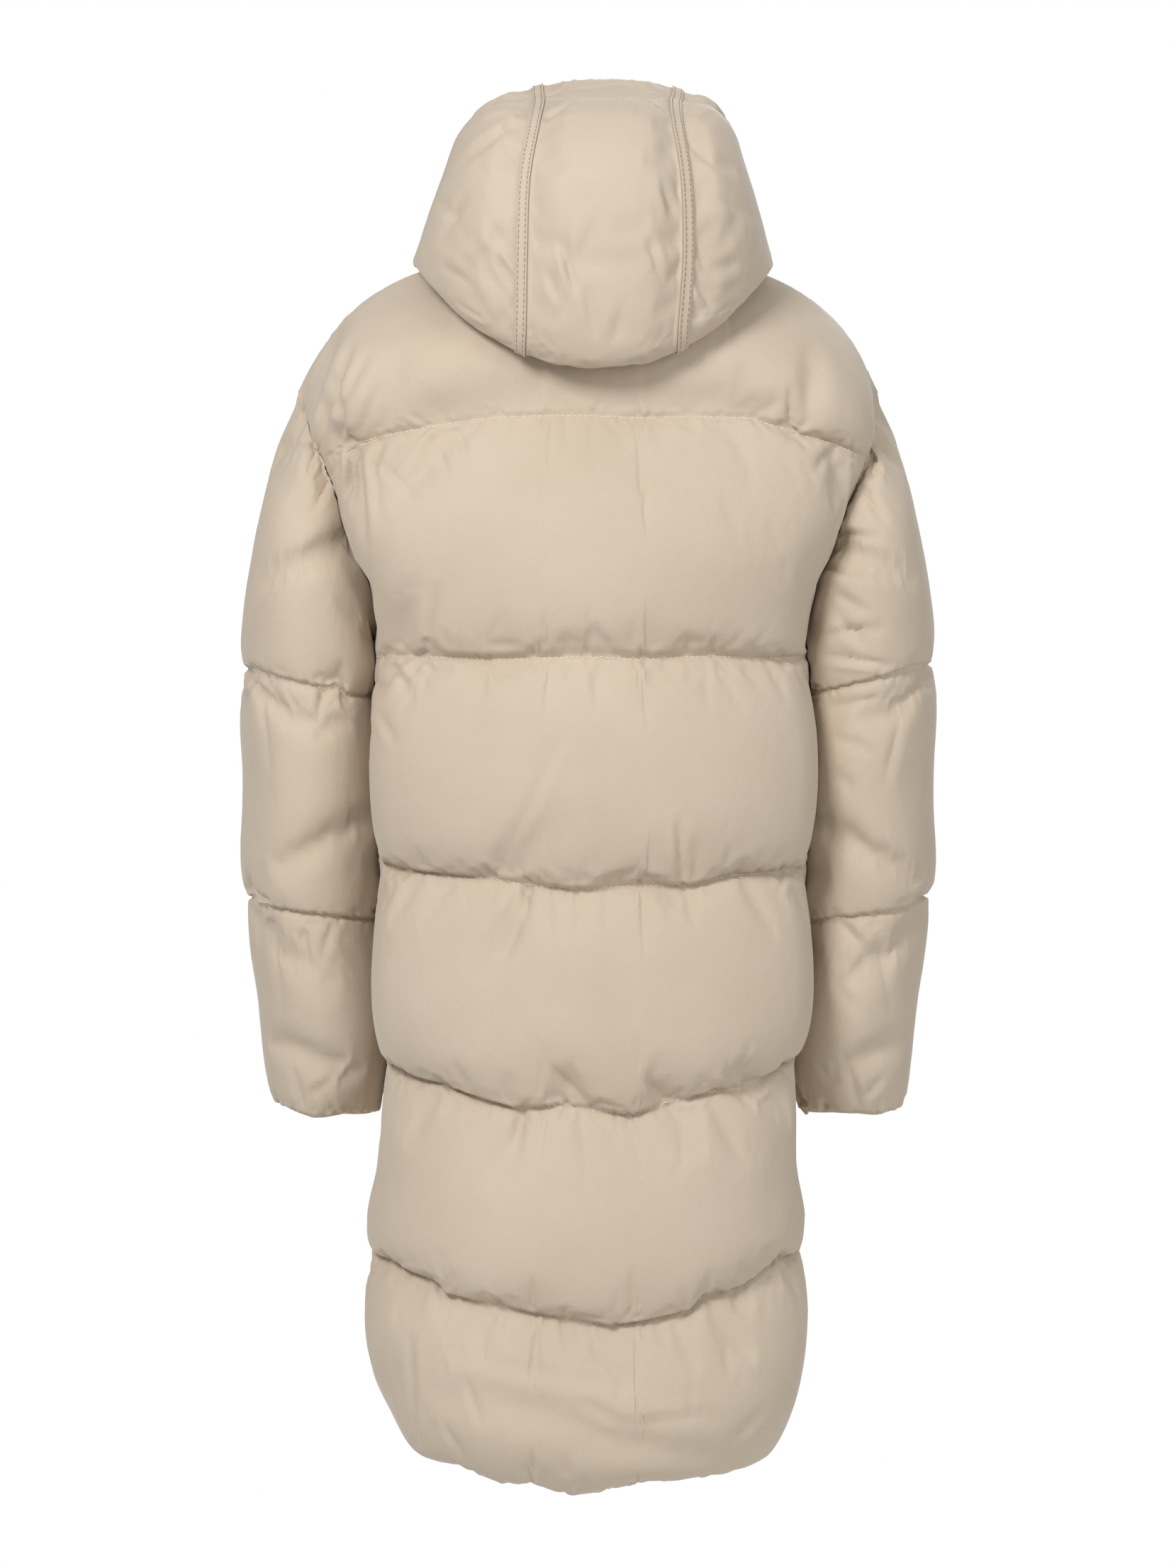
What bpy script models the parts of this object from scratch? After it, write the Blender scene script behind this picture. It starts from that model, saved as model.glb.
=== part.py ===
"""Long puffer coat with a hood, shaped as when it is worn, with nobody in it.

The coat faces -Y, +Z is up and +X is the wearer's left. The origin is in the middle of the
neck, level with the nape seam. The tables and the named sizes are in millimetres.

Each cut piece is a padded wall: a plain inner face on the piece's seam surface, and an
outer face that stands off it, sewn down at the seams and quilt lines and raised between.
"""

import math
from collections import namedtuple

import bpy
import numpy as np
from mathutils.bvhtree import BVHTree

MM = 0.001

# Walls
SEAM_GAP = 0.35  # between two pieces along their seam
SEWN_LIFT = 2.2  # outer face above the seam surface where it is sewn down
INNER_DROP = 1.6  # inner face below the seam surface
BODY_PUFF = 25.0  # padding over the middle of a body baffle
SLEEVE_PUFF = 15.0
BAFFLE_ROUND = 0.55  # under 1 the padding rises steeply from its stitches
EDGE_RISE = 70.0  # the padding reaches full height this far from a side seam
ARMHOLE_RISE = 95.0  # and this far from an armhole
ZIP_RISE = (-4.0, 26.0)  # from a front edge: nearly flat beside the zip, then full
COLLAR_FLAT = (0.0, 45.0)  # from the neck seam: flat beside the collar, then full
NAPE_FLAT = (18.0, 90.0)  # from the neck seam: pressed flat by the hood, then full

# Neck, shoulder and zip
ZIP_HALF = 5.0  # the front edges stand this far from the middle
NECK_SHARE = 0.42  # the neckline's share of a panel's half top edge
SIDE_NECK_ANGLE = 82.0  # where the shoulder seam meets the neck ring, from the nape
SHOULDER_PULL = (207.0, -8.0, 14.0)  # control point of the shoulder seam's curve
SHOULDER_TIP = (254.0, -8.0, -88.0)

# Columns across the pieces: angles on the neck ring, in degrees from the nape
SEAM_ANGLE = 30.0  # the two hood seams
STRIP_ANGLE = 3.6  # half the flat land under a hood seam strip
PRESS_CLEAR = 8.5  # a pressed piece's outer face stands this far off the torso's
PRESS_ROUNDS = 3
BACK_ANGLES = (0.0, 13.0, SEAM_ANGLE - STRIP_ANGLE, SEAM_ANGLE, SEAM_ANGLE + STRIP_ANGLE,
               50.0, 66.0, SIDE_NECK_ANGLE)
FRONT_ANGLES = (180.0, 172.0, 154.0, 136.0, 118.0, 100.0, SIDE_NECK_ANGLE)
SHOULDER_CELLS = 6

# Rows down the pieces: how far each row lies into its baffle
YOKE_ROWS = (0.0, 0.14, 0.36, 0.62, 0.86)
CHEST_ROWS = (0.0, 0.10, 0.25, 0.42, 0.60, 0.75, 0.88)
BAFFLE_ROWS = (0.0, 0.12, 0.35, 0.65, 0.88)
CAP_ROWS = (0.0, 0.10, 0.28, 0.50, 0.72, 0.90)
RIM_SPLIT = (0.13, -0.61, 0.78)  # which way the rims' triangles are split
UNDERARM_ROW = len(YOKE_ROWS) + len(CHEST_ROWS) - 1
HOOD_MIDDLE = len(BACK_ANGLES) + len(FRONT_ANGLES) - 2

# Zip
TAPE_THICK = 1.2
TAPE_CLEAR = 0.3  # from the tape to the walls that it is sewn behind
STRIP_CLEAR = 0.7  # from a hood seam's strip to the panels it lies on
TAPE_SPLIT = 2.6  # half the gap between the tapes above the slider's post
SLIDER_DOWN = 14.0  # from the top of the collar to the slider's middle

# Slider. x is across, y out of the coat from the plane of the front edges (outwards is
# negative), and z up the zip.
PLATE = (8.6, 1.2, 11.0)
TAPE_FACE = INNER_DROP + TAPE_CLEAR  # the tapes' outer face, behind the plane
OUTER_PLATE_Y = -0.2
INNER_PLATE_Y = TAPE_FACE + TAPE_THICK + 0.5 + PLATE[1] / 2
FLANGE = (1.0, 1.2)  # across, and towards the tape
FLANGE_CLEAR = 0.5
POST = (3.2, 3.0)  # across, and up the zip
POST_UP = 3.6  # middle of the post above the slider's middle
BRIDGE_WIRE = 0.65
BRIDGE_REACH = 3.1
BRIDGE_HEIGHT = 4.1
PIVOT_OUT = 1.9  # the pull's axis above the outer plate's face
PULL = (6.2, 1.5, 24.0)
PULL_WINDOW = (3.4, 7.2)

COLOURS = {
    "shell": ((0.62, 0.52, 0.40), 0.85, 0.0),
    "tape": ((0.52, 0.43, 0.33), 0.90, 0.0),
    "metal": ((0.55, 0.52, 0.48), 0.35, 1.0),
}

# Torso rows from the shoulder down. station counts quilt lines: 1 is the yoke line, 2 to 5
# the lines below it and 6 the hem. half is the half width at the side edge, lean moves the
# row to +X, and the y and z columns give the side edge and the middle of each panel.
Torso = namedtuple(
    "Torso",
    "station half lean edge_z back_edge_y front_edge_y back_y back_z front_y front_z square",
)
TORSO = [
    Torso(0.50, 246, -2, -125, 24, -38, 104, -64, -108, -102, 2.1),
    Torso(1.00, 235, -6, -161, 44, -54, 124, -130, -121, -146, 2.2),
    Torso(1.45, 206, -4, -232, 44, -44, 139, -212, -129, -222, 2.3),
    Torso(1.88, 186, -3, -304, 12, 12, 146, -302, -134, -304, 2.3),
    Torso(2.00, 188, -3, -332, 14, 14, 147, -334, -135, -332, 2.3),
    Torso(2.50, 188, -5, -420, 14, 14, 146, -432, -136, -424, 2.3),
    Torso(3.00, 186, -4, -506, 14, 14, 144, -530, -136, -512, 2.3),
    Torso(4.00, 179, -3, -668, 12, 12, 148, -722, -138, -682, 2.3),
    Torso(4.50, 167, 1, -750, 10, 10, 151, -812, -140, -766, 2.3),
    Torso(5.00, 186, 2, -828, 8, 8, 154, -898, -142, -848, 2.3),
    Torso(5.55, 171, 1, -928, 6, 6, 152, -985, -140, -938, 2.3),
    Torso(6.00, 156, -3, -998, 4, 4, 128, -1042, -118, -1004, 2.2),
]

# Sleeve rings below the armhole. x, y and z are the ring's middle on the left arm, rx and ry
# its half sizes, tilt how far its outer end stands above the middle, and sag how far the
# underarm drops below that.
Sleeve = namedtuple("Sleeve", "station x y z rx ry tilt sag")
SLEEVE = [
    Sleeve(0.50, 240, -6, -228, 31, 80, 40, 50),
    Sleeve(1.00, 249, -15, -350, 51, 86, 14, 0),
    Sleeve(1.50, 242, -26, -448, 50, 86, 4, 0),
    Sleeve(2.00, 248, -36, -553, 50, 82, 9, 0),
    Sleeve(2.50, 233, -46, -645, 46, 76, 3, 0),
    Sleeve(3.00, 236, -54, -733, 40, 60, 4, 0),
]

# Hood rings from the neck seam to the mouth: up out of the seam, over, down into the pouch
# that hangs on the back, up its outside and forward over the crown to the brim. seam_left and
# seam_right are the angles from the nape at which the two seams cross the ring.
Hood = namedtuple(
    "Hood",
    "name station half lean back_y back_z side_z front_y front_z puff seam_left seam_right",
)
HOOD = [
    Hood("neck", 0.0, 90, 0, 76, 0, 20, -98, -66, 0.0, 30, 30),
    Hood("stand", 1.0, 95, 0, 83, 19, 37, -102, -58, 0.5, 29, 30),
    Hood("roll", 2.0, 113, -2, 104, 15, 38, -106, -52, 1.0, 27, 29),
    Hood("fall", 3.0, 132, -5, 129, -29, 27, -110, -46, 2.0, 24, 27.5),
    Hood("pouch", 4.0, 148, -8, 152, -84, 16, -113, -40, 4.0, 22.5, 25),
    Hood("heel", 5.0, 152, -8, 172, -68, 20, -116, -33, 7.0, 21.5, 25),
    Hood("wide", 6.0, 138, -10, 180, -4, 40, -119, -26, 9.0, 24.4, 29.3),
    Hood("upper", 7.0, 123, -11, 170, 64, 76, -122, -19, 9.0, 27.4, 32.4),
    Hood("crown", 8.0, 115, -12, 128, 122, 106, -125, -12, 8.0, 26, 31),
    Hood("top", 9.0, 113, -13, 78, 149, 116, -127, -7, 7.0, 25.8, 31),
    Hood("stitch", 10.0, 114, -14, 30, 164, 118, -129, -2, 0.0, 26.3, 31.2),
    Hood("band", 10.5, 117, -14, 14, 174, 122, -130, 2, 4.5, 26, 31),
    Hood("mouth", 11.0, 117, -14, 0, 182, 119, -131, 6, 1.5, 26, 31),
]
HOOD_SQUARE = 2.3
HOOD_ROWS = (0, 0.5, 1, 1.5, 2, 3, 3.6, 4, 4.4, 5, 6, 7, 8, 8.6, 9.3, 10, 10.5, 11)

# The largest folds of the shell, as troughs along a line seen from behind or, where side is
# -1, from in front.
Fold = namedtuple("Fold", "side x1 z1 x2 z2 depth width")
BODY_FOLDS = [
    Fold(1, 214, -48, 240, -122, 11, 11),
    Fold(1, 218, -100, 222, -165, 9, 9),
    Fold(1, 206, -140, 200, -196, 8, 8),
    Fold(1, 150, -95, 192, -150, 6, 12),
    Fold(1, 136, -272, 168, -352, 8, 12),
    Fold(1, 120, -160, 160, -205, 6, 14),
    Fold(1, -182, -86, -183, -140, 8, 11),
    Fold(1, -200, -190, -214, -160, 7, 10),
    Fold(1, 22, -470, 76, -524, 5, 15),
    Fold(1, 52, -534, 72, -590, 7, 13),
    Fold(1, 34, -680, 6, -716, 7, 14),
    Fold(1, -54, -690, -70, -718, 6, 14),
    Fold(1, -126, -686, -142, -708, 6, 13),
    Fold(1, 54, -722, 62, -770, 6, 13),
    Fold(1, 110, -950, -40, -985, 8, 14),
    Fold(1, 4, -985, -104, -1000, 7, 13),
    Fold(1, 152, -930, 150, -1010, 6, 12),
    Fold(-1, 120, -150, 190, -190, 7, 14),
    Fold(-1, -130, -150, -186, -200, 7, 14),
    Fold(-1, 60, -352, 96, -410, 6, 14),
    Fold(-1, -84, -500, -50, -455, 6, 14),
    Fold(-1, 70, -655, 40, -690, 6, 14),
    Fold(-1, -60, -715, -80, -770, 6, 13),
    Fold(-1, 120, -900, 40, -930, 7, 14),
    Fold(-1, -30, -940, -130, -920, 7, 14),
]
SLEEVE_FOLDS = [
    Fold(1, 262, -150, 236, -240, 6, 12),
    Fold(1, 215, -225, 262, -262, 6, 12),
    Fold(1, 288, -345, 240, -395, 6, 11),
    Fold(1, 216, -470, 272, -520, 6, 12),
    Fold(1, 284, -560, 238, -610, 6, 11),
    Fold(1, 222, -690, 268, -660, 6, 11),
    Fold(-1, 258, -170, 228, -250, 6, 12),
    Fold(-1, 280, -380, 235, -430, 6, 12),
    Fold(-1, 226, -500, 274, -470, 6, 12),
    Fold(-1, 268, -600, 226, -640, 6, 12),
]


def spline(stations, values, at):
    """Reads a smooth curve through values, which may be arrays, at each place in at."""
    stations, values, at = (np.asarray(item, float) for item in (stations, values, at))
    steps = np.diff(stations)
    trailing = (1,) * (values.ndim - 1)
    chords = np.diff(values, axis=0) / steps.reshape(-1, *trailing)
    share = (steps[1:] / (steps[:-1] + steps[1:])).reshape(-1, *trailing)
    slopes = np.concatenate(
        [chords[:1], chords[:-1] * share + chords[1:] * (1 - share), chords[-1:]]
    )
    left = np.clip(np.searchsorted(stations, at, "right") - 1, 0, len(steps) - 1)
    step = steps[left].reshape(-1, *trailing)
    u = ((at - stations[left]) / steps[left]).reshape(-1, *trailing)
    return (
        values[left] * (1 + 2 * u) * (1 - u) ** 2
        + values[left + 1] * u * u * (3 - 2 * u)
        + slopes[left] * step * u * (1 - u) ** 2
        - slopes[left + 1] * step * u * u * (1 - u)
    )


def unit(vectors):
    return vectors / np.maximum(np.linalg.norm(vectors, axis=-1, keepdims=True), 1e-9)


def smoothstep(low, high, values):
    u = np.clip((values - low) / (high - low), 0, 1)
    return u * u * (3 - 2 * u)


def neck_ring(ring, angles):
    """Points of one hood ring at angles from the nape, positive to the wearer's left."""
    turn = np.radians(angles)
    forward = np.cos(turn)
    across = np.sign(turn) * np.abs(np.sin(turn)) ** (2 / HOOD_SQUARE)
    open_front = ZIP_HALF * np.sign(turn) * (1 - forward) / 2
    middle_y = (ring.back_y + ring.front_y) / 2
    half_y = (ring.back_y - ring.front_y) / 2
    swing = (ring.back_z - ring.front_z) / 2
    bow = (ring.back_z + ring.front_z) / 2 - ring.side_z
    return np.stack(
        [
            ring.half * across + open_front + ring.lean * (1 + forward) / 2,
            middle_y + half_y * np.sign(forward) * np.abs(forward) ** (2 / HOOD_SQUARE),
            ring.side_z + swing * forward + bow * forward**2,
        ],
        axis=-1,
    )


def seam_turned(ring, angles):
    """angles, with the columns of the two hood seams moved to where they cross the ring."""
    places, moved = [-180, -SIDE_NECK_ANGLE], [-180, -SIDE_NECK_ANGLE]
    for side, turn in ((-1, ring.seam_right), (1, ring.seam_left)):
        for edge in (-STRIP_ANGLE, STRIP_ANGLE):
            places.append(side * SEAM_ANGLE + edge)
            moved.append(side * turn + edge)
    return np.interp(angles, places + [SIDE_NECK_ANGLE, 180], moved + [SIDE_NECK_ANGLE, 180])


def quarter(half, depth, square, shares):
    """(across, out) at shares of the length of a quarter superellipse, from its middle."""
    turn = np.linspace(0, math.pi / 2, 240)
    across = half * np.sin(turn) ** (2 / square)
    out = depth * np.cos(turn) ** (2 / square)
    run = np.concatenate([[0], np.cumsum(np.hypot(np.diff(across), np.diff(out)))])
    return np.interp(shares, run / run[-1], across), np.interp(shares, run / run[-1], out)


def panel_shares(angles, nape):
    """Where each column lies between a panel's middle (0) and its side edge (1)."""
    neck = NECK_SHARE * np.abs(np.array(angles) - nape) / abs(SIDE_NECK_ANGLE - nape)
    shoulder = NECK_SHARE + (1 - NECK_SHARE) * np.arange(1, SHOULDER_CELLS + 1) / SHOULDER_CELLS
    return np.concatenate([neck, shoulder])


def top_edge(shares, nape, hand):
    """The neckline and then the shoulder seam, for one half (hand is 1 left, -1 right)."""
    angle = nape + (SIDE_NECK_ANGLE - nape) * np.minimum(shares / NECK_SHARE, 1)
    neck = neck_ring(HOOD[0], hand * angle)
    u = np.clip((shares - NECK_SHARE) / (1 - NECK_SHARE), 0, 1)[:, None]
    mirror = np.array([hand, 1, 1])
    start = neck_ring(HOOD[0], np.array([hand * SIDE_NECK_ANGLE]))
    pull, tip = np.array(SHOULDER_PULL) * mirror, np.array(SHOULDER_TIP) * mirror
    seam = start * (1 - u) ** 2 + 2 * pull * u * (1 - u) + tip * u**2
    return np.where(shares[:, None] > NECK_SHARE, seam, neck)


def half_panel(shares, nape, hand, rows):
    """Seam surface of one half of the back (nape 0) or of a front (nape 180)."""
    front = nape > 90
    keys = [top_edge(shares, nape, hand)]
    for row in TORSO:
        edge_y = row.front_edge_y if front else row.back_edge_y
        middle_y = row.front_y if front else row.back_y
        middle_z = row.front_z if front else row.back_z
        across, out = quarter(row.half, middle_y - edge_y, row.square, shares)
        if front:
            across = ZIP_HALF + across * (row.half - ZIP_HALF) / row.half
        lean = row.lean * (shares if front else 1)
        drop = (row.edge_z - middle_z) * shares**2
        keys.append(np.stack([hand * across + lean, edge_y + out, middle_z + drop], axis=-1))
    return spline([0] + [row.station for row in TORSO], keys, rows)


def outward_normals(grid, hand=1):
    down = np.gradient(grid, axis=0)
    along = np.gradient(grid, axis=1)
    return hand * unit(np.cross(down, along))


def ring_normals(grid, hand):
    """Normals of a tube whose last column joins its first."""
    closed = np.concatenate([grid[:, -2:], grid, grid[:, :2]], axis=1)
    return outward_normals(closed, hand)[:, 2:-2]


def join_normals(first, second, *others):
    """Gives the pieces that meet in a seam one shared direction through their walls.

    Each piece is (normals, rows, columns), and all name the same points in the same order."""
    pieces = (first, second, *others)
    shared = unit(sum(normals[rows, columns] for normals, rows, columns in pieces))
    for normals, rows, columns in pieces:
        normals[rows, columns] = shared


def baffle(stations):
    """0 on each quilt line and 1 midway between two."""
    return np.sin(math.pi * (stations % 1)) ** BAFFLE_ROUND


def edge_distance(grid, first, last):
    """Distance along each row from its first or last column, as asked, or from neither."""
    run = np.concatenate(
        [np.zeros((len(grid), 1)), np.cumsum(np.linalg.norm(np.diff(grid, axis=1), axis=2), axis=1)],
        axis=1,
    )
    away = np.full(run.shape, np.inf)
    if first:
        away = np.minimum(away, run)
    if last:
        away = np.minimum(away, run[:, -1:] - run)
    return away


def fold_depth(points, normals, folds, hand=1):
    """How far the folds sink each point."""
    depth = np.zeros(points.shape[:-1])
    for fold in folds:
        start = np.array([hand * fold.x1, fold.z1])
        run = np.array([hand * fold.x2, fold.z2]) - start
        seen = points[..., [0, 2]] - start
        u = np.clip((seen @ run) / (run @ run), 0, 1)
        away = np.linalg.norm(seen - u[..., None] * run, axis=-1)
        taper = 0.35 + 0.65 * np.sin(math.pi * u)
        facing = smoothstep(-0.1, 0.3, fold.side * normals[..., 1])
        depth += fold.depth * np.exp(-((away / fold.width) ** 2)) * taper * facing
    return depth


def neck_press(points):
    """Near 0 beside the neck seam, rising to 1, and more slowly where the hood lies on the back."""
    ring = neck_ring(HOOD[0], np.linspace(-180, 180, 121))
    away = np.linalg.norm(points[:, :, None] - ring, axis=-1).min(axis=2)
    under_hood = smoothstep(0, 60, points[..., 1])
    clear = smoothstep(*COLLAR_FLAT, away)
    return clear * (1 - 0.8 * under_hood * (1 - smoothstep(*NAPE_FLAT, away)))


def torso_lift(grid, normals, rows, first, last):
    """How far the outer face of a torso panel stands off its seam surface."""
    away = edge_distance(grid, first, last)
    below_arm = smoothstep(1.6, 2.4, rows)[:, None]
    rise = ARMHOLE_RISE + (EDGE_RISE - ARMHOLE_RISE) * below_arm
    side = np.sin(math.pi / 2 * np.clip(away / rise, 0, 1)) ** (1.2 - 0.45 * below_arm)
    puff = BODY_PUFF * baffle(rows)[:, None] * side * neck_press(grid)
    sunk = np.minimum(fold_depth(grid, normals, BODY_FOLDS), 0.75 * puff)
    return SEWN_LIFT + puff - sunk


def pressed(grid, normals, lift, torso):
    """Moves a piece's seam surface so that its outer face clears the torso's outer face.

    torso is a tree of the torso's outer faces. The first row stays in its seam."""
    grid = grid.copy()
    for _ in range(PRESS_ROUNDS):
        for row in range(1, len(grid)):
            clear = PRESS_CLEAR * min(1, row / 3)
            for column in range(grid.shape[1]):
                outer = grid[row, column] + normals[row, column] * lift[row, column]
                near, direction = (np.array(item) for item in torso.find_nearest(outer)[:2])
                grid[row, column] += direction * max(0, clear - (outer - near) @ direction)
    return grid


def wall(name, grid, normals, lift, drop, edges, ring=False, material="shell"):
    """Makes a closed wall between grid + lift and grid - drop.

    edges names the sides that meet another piece, and are drawn back from the seam: top,
    bottom, first and last. A ring's last column joins its first."""
    outer = grid + normals * np.broadcast_to(lift, grid.shape[:2])[..., None]
    inner = grid - normals * np.broadcast_to(drop, grid.shape[:2])[..., None]
    beside = {
        "top": (np.s_[0, :], grid[1]),
        "bottom": (np.s_[-1, :], grid[-2]),
        "first": (np.s_[:, 0], grid[:, 1]),
        "last": (np.s_[:, -1], grid[:, -2]),
    }
    for edge in edges:
        where, neighbours = beside[edge]
        back = draw_back(grid[where], neighbours, normals[where])
        outer[where] += back
        inner[where] += back
    rows, columns = grid.shape[:2]
    count = rows * columns
    index = np.arange(count).reshape(rows, columns)
    if ring:
        index = np.concatenate([index, index[:, :1]], axis=1)
    a, b, c, d = index[:-1, :-1], index[1:, :-1], index[1:, 1:], index[:-1, 1:]
    faces = np.stack([a, b, c, d], -1).reshape(-1, 4).tolist()
    faces += (np.stack([d, c, b, a], -1).reshape(-1, 4) + count).tolist()
    rims = [index[0, ::-1], index[-1]] if ring else [
        np.concatenate([index[0, ::-1], index[1:, 0], index[-1, 1:], index[-2::-1, -1]])
    ]
    for rim in rims:
        faces += rim_faces(rim[:-1], rim[1:], count, outer.reshape(-1, 3) @ RIM_SPLIT)
    points = np.concatenate([outer.reshape(-1, 3), inner.reshape(-1, 3)]) * MM
    return add_mesh(name, points, faces, material)


def draw_back(edge, neighbours, normals):
    """Half a seam gap from an edge towards its own piece, square to the seam."""
    along = unit(np.gradient(edge, axis=0))
    inward = neighbours - edge
    for direction in (along, normals):
        inward = inward - direction * np.sum(inward * direction, axis=-1, keepdims=True)
    return unit(inward) * SEAM_GAP / 2


def rim_faces(starts, ends, count, height):
    """Triangles across a wall's edge, split alike on both sides of a seam."""
    rising = height[ends] > height[starts]
    first = np.stack([starts, starts + count, np.where(rising, ends + count, ends)], -1)
    second = np.stack([np.where(rising, starts, starts + count), ends + count, ends], -1)
    return first.tolist() + second.tolist()


def add_mesh(name, points, faces, material):
    mesh = bpy.data.meshes.new(name)
    mesh.from_pydata(points.tolist(), [], faces)
    mesh.update()
    mesh.shade_smooth()
    mesh.set_sharp_from_angle(angle=math.radians(50))
    return add_object(name, mesh, material)


def add_object(name, mesh, material):
    mesh.materials.clear()
    mesh.materials.append(bpy.data.materials[material])
    made = bpy.data.objects.new(name, mesh)
    bpy.data.collections["puffer_coat"].objects.link(made)
    made.parent = bpy.data.objects["coat"]
    return made


def torso_rows():
    starts = [YOKE_ROWS, CHEST_ROWS] + [BAFFLE_ROWS] * 4
    rows = [line + share for line, shares in enumerate(starts) for share in shares]
    return np.array(rows + [float(len(starts))])


def torso_grids(rows):
    """Seam surfaces of the back and both fronts. Seen from outside, columns run rightwards."""
    back_shares = panel_shares(BACK_ANGLES, 0)
    front_shares = panel_shares(FRONT_ANGLES, 180)
    back_left = half_panel(back_shares, 0, 1, rows)[:, ::-1]
    back_right = half_panel(back_shares, 0, -1, rows)
    return {
        "back": np.concatenate([back_left, back_right[:, 1:]], axis=1),
        "front_left": half_panel(front_shares, 180, 1, rows),
        "front_right": half_panel(front_shares, 180, -1, rows)[:, ::-1],
    }


def armhole(torso, hand):
    """The armhole from the shoulder tip down the back to the underarm and up the front."""
    back_edge = torso["back"][: UNDERARM_ROW + 1, 0 if hand > 0 else -1]
    front = torso["front_left" if hand > 0 else "front_right"]
    front_edge = front[: UNDERARM_ROW + 1, -1 if hand > 0 else 0]
    return np.concatenate([back_edge, front_edge[-2:0:-1]])


def sleeve_rows():
    starts = [CAP_ROWS, BAFFLE_ROWS, BAFFLE_ROWS]
    rows = [line + share for line, shares in enumerate(starts) for share in shares]
    return np.array(rows + [float(len(starts))])


def sleeve_grid(loop, hand, rows):
    """Seam surface of a sleeve: rings from the armhole down, columns round the arm."""
    steps = np.linalg.norm(np.diff(loop, axis=0, append=loop[:1]), axis=1)
    run = np.concatenate([[0], np.cumsum(steps)[:-1]])
    underarm = run[UNDERARM_ROW]
    turn = np.where(
        run <= underarm,
        math.pi * run / underarm,
        math.pi * (1 + (run - underarm) / (steps.sum() - underarm)),
    )
    keys = [loop]
    for ring in SLEEVE:
        x = ring.x + ring.rx * np.cos(turn)
        y = ring.y + ring.ry * np.sin(turn)
        z = ring.z + ring.tilt * np.cos(turn) - ring.sag * ((1 - np.cos(turn)) / 2) ** 3
        keys.append(np.stack([hand * x, y, z], axis=-1))
    return spline([0] + [ring.station for ring in SLEEVE], keys, rows), turn


def sleeve_lift(grid, normals, rows, turn, hand):
    """The sleeve's padding, pressed thin against the body and drawn tighter outside."""
    outside = 1 - 0.55 * np.clip(-np.cos(turn), 0, 1) - 0.3 * np.clip(np.cos(turn), 0, 1)
    puff = SLEEVE_PUFF * baffle(rows)[:, None] * outside
    folds = fold_depth(grid, normals, SLEEVE_FOLDS, hand)
    return SEWN_LIFT + puff - np.minimum(folds, 0.7 * puff)


def hood_angles():
    left = list(BACK_ANGLES) + list(FRONT_ANGLES[-2::-1])
    return np.array([-angle for angle in left[:0:-1]] + left)


def hood_grid(angles):
    """Seam surface of the whole hood, a row for each of HOOD_ROWS."""
    keys = [neck_ring(ring, seam_turned(ring, angles)) for ring in HOOD]
    return spline([ring.station for ring in HOOD], keys, HOOD_ROWS)


def hood_lift(angles):
    """The hood's light padding, sewn down at the seams under the strips and at its edges."""
    puff = spline([ring.station for ring in HOOD], [ring.puff for ring in HOOD], HOOD_ROWS)
    seam = np.abs(np.abs(angles) - SEAM_ANGLE)
    off_seam = smoothstep(STRIP_ANGLE, 16, seam)
    off_zip = smoothstep(0, 26, 180 - np.abs(angles))
    return SEWN_LIFT + np.maximum(puff, 0)[:, None] * off_seam * (0.15 + 0.85 * off_zip)


def make_strip(name, grid, normals, lift, column):
    """A hood seam's strip: the panels' own points beside the seam, moved out onto them."""
    columns = slice(column - 1, column + 2)
    base = grid[:, columns] + normals[:, columns] * (lift[:, columns] + STRIP_CLEAR)[..., None]
    middle = base[:, 1:2]
    narrowed = middle + (base - middle) * 0.8
    return wall(name, narrowed, normals[:, columns], TAPE_THICK, 0.0, ())


def make_tape(name, hand, front, hood, slider_run):
    """A zip tape, sewn behind the front edges of the torso and of the hood's collar.

    front and hood are (grid, normals) of each edge's column and of the one beside it. The
    tapes part above slider_run, a length up the edge from the hem."""
    columns = np.concatenate([front[0][::-1], hood[0][1:]])
    through = np.concatenate([front[1][::-1], hood[1][1:]])
    run = edge_run(columns)
    split_at = (slider_run + POST_UP - POST[1], slider_run + POST_UP - POST[1] / 2 - SEAM_GAP)
    stops = np.union1d(run, split_at)
    grid = np.stack([[np.interp(stops, run, columns[:, column, axis]) for axis in range(3)]
                     for column in range(2)]).transpose(2, 0, 1)
    through = unit(np.stack([[np.interp(stops, run, through[:, column, axis]) for axis in range(3)]
                             for column in range(2)]).transpose(2, 0, 1))
    middle = grid[:, :1].copy()
    middle[:, 0, 0] = hand * np.where(stops < split_at[1] - 0.01, SEAM_GAP, TAPE_SPLIT)
    grid = np.concatenate([middle, grid], axis=1)
    through = np.concatenate([through[:, :1], through], axis=1)
    if hand > 0:
        grid, through = grid[::-1], through[::-1]
    behind = INNER_DROP + TAPE_CLEAR
    wall(name, grid, through, -behind, behind + TAPE_THICK, (), material="tape")


def edge_run(columns):
    """Length up a zip edge, from its lowest row."""
    return np.concatenate([[0], np.cumsum(np.linalg.norm(np.diff(columns[:, 0], axis=0), axis=1))])


def box(name, size, centre):
    bpy.ops.mesh.primitive_cube_add(size=1, location=[value * MM for value in centre])
    made = bpy.context.object
    made.name = name
    made.scale = [value * MM for value in size]
    bpy.ops.object.transform_apply(location=True, rotation=False, scale=True)
    return made


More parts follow.
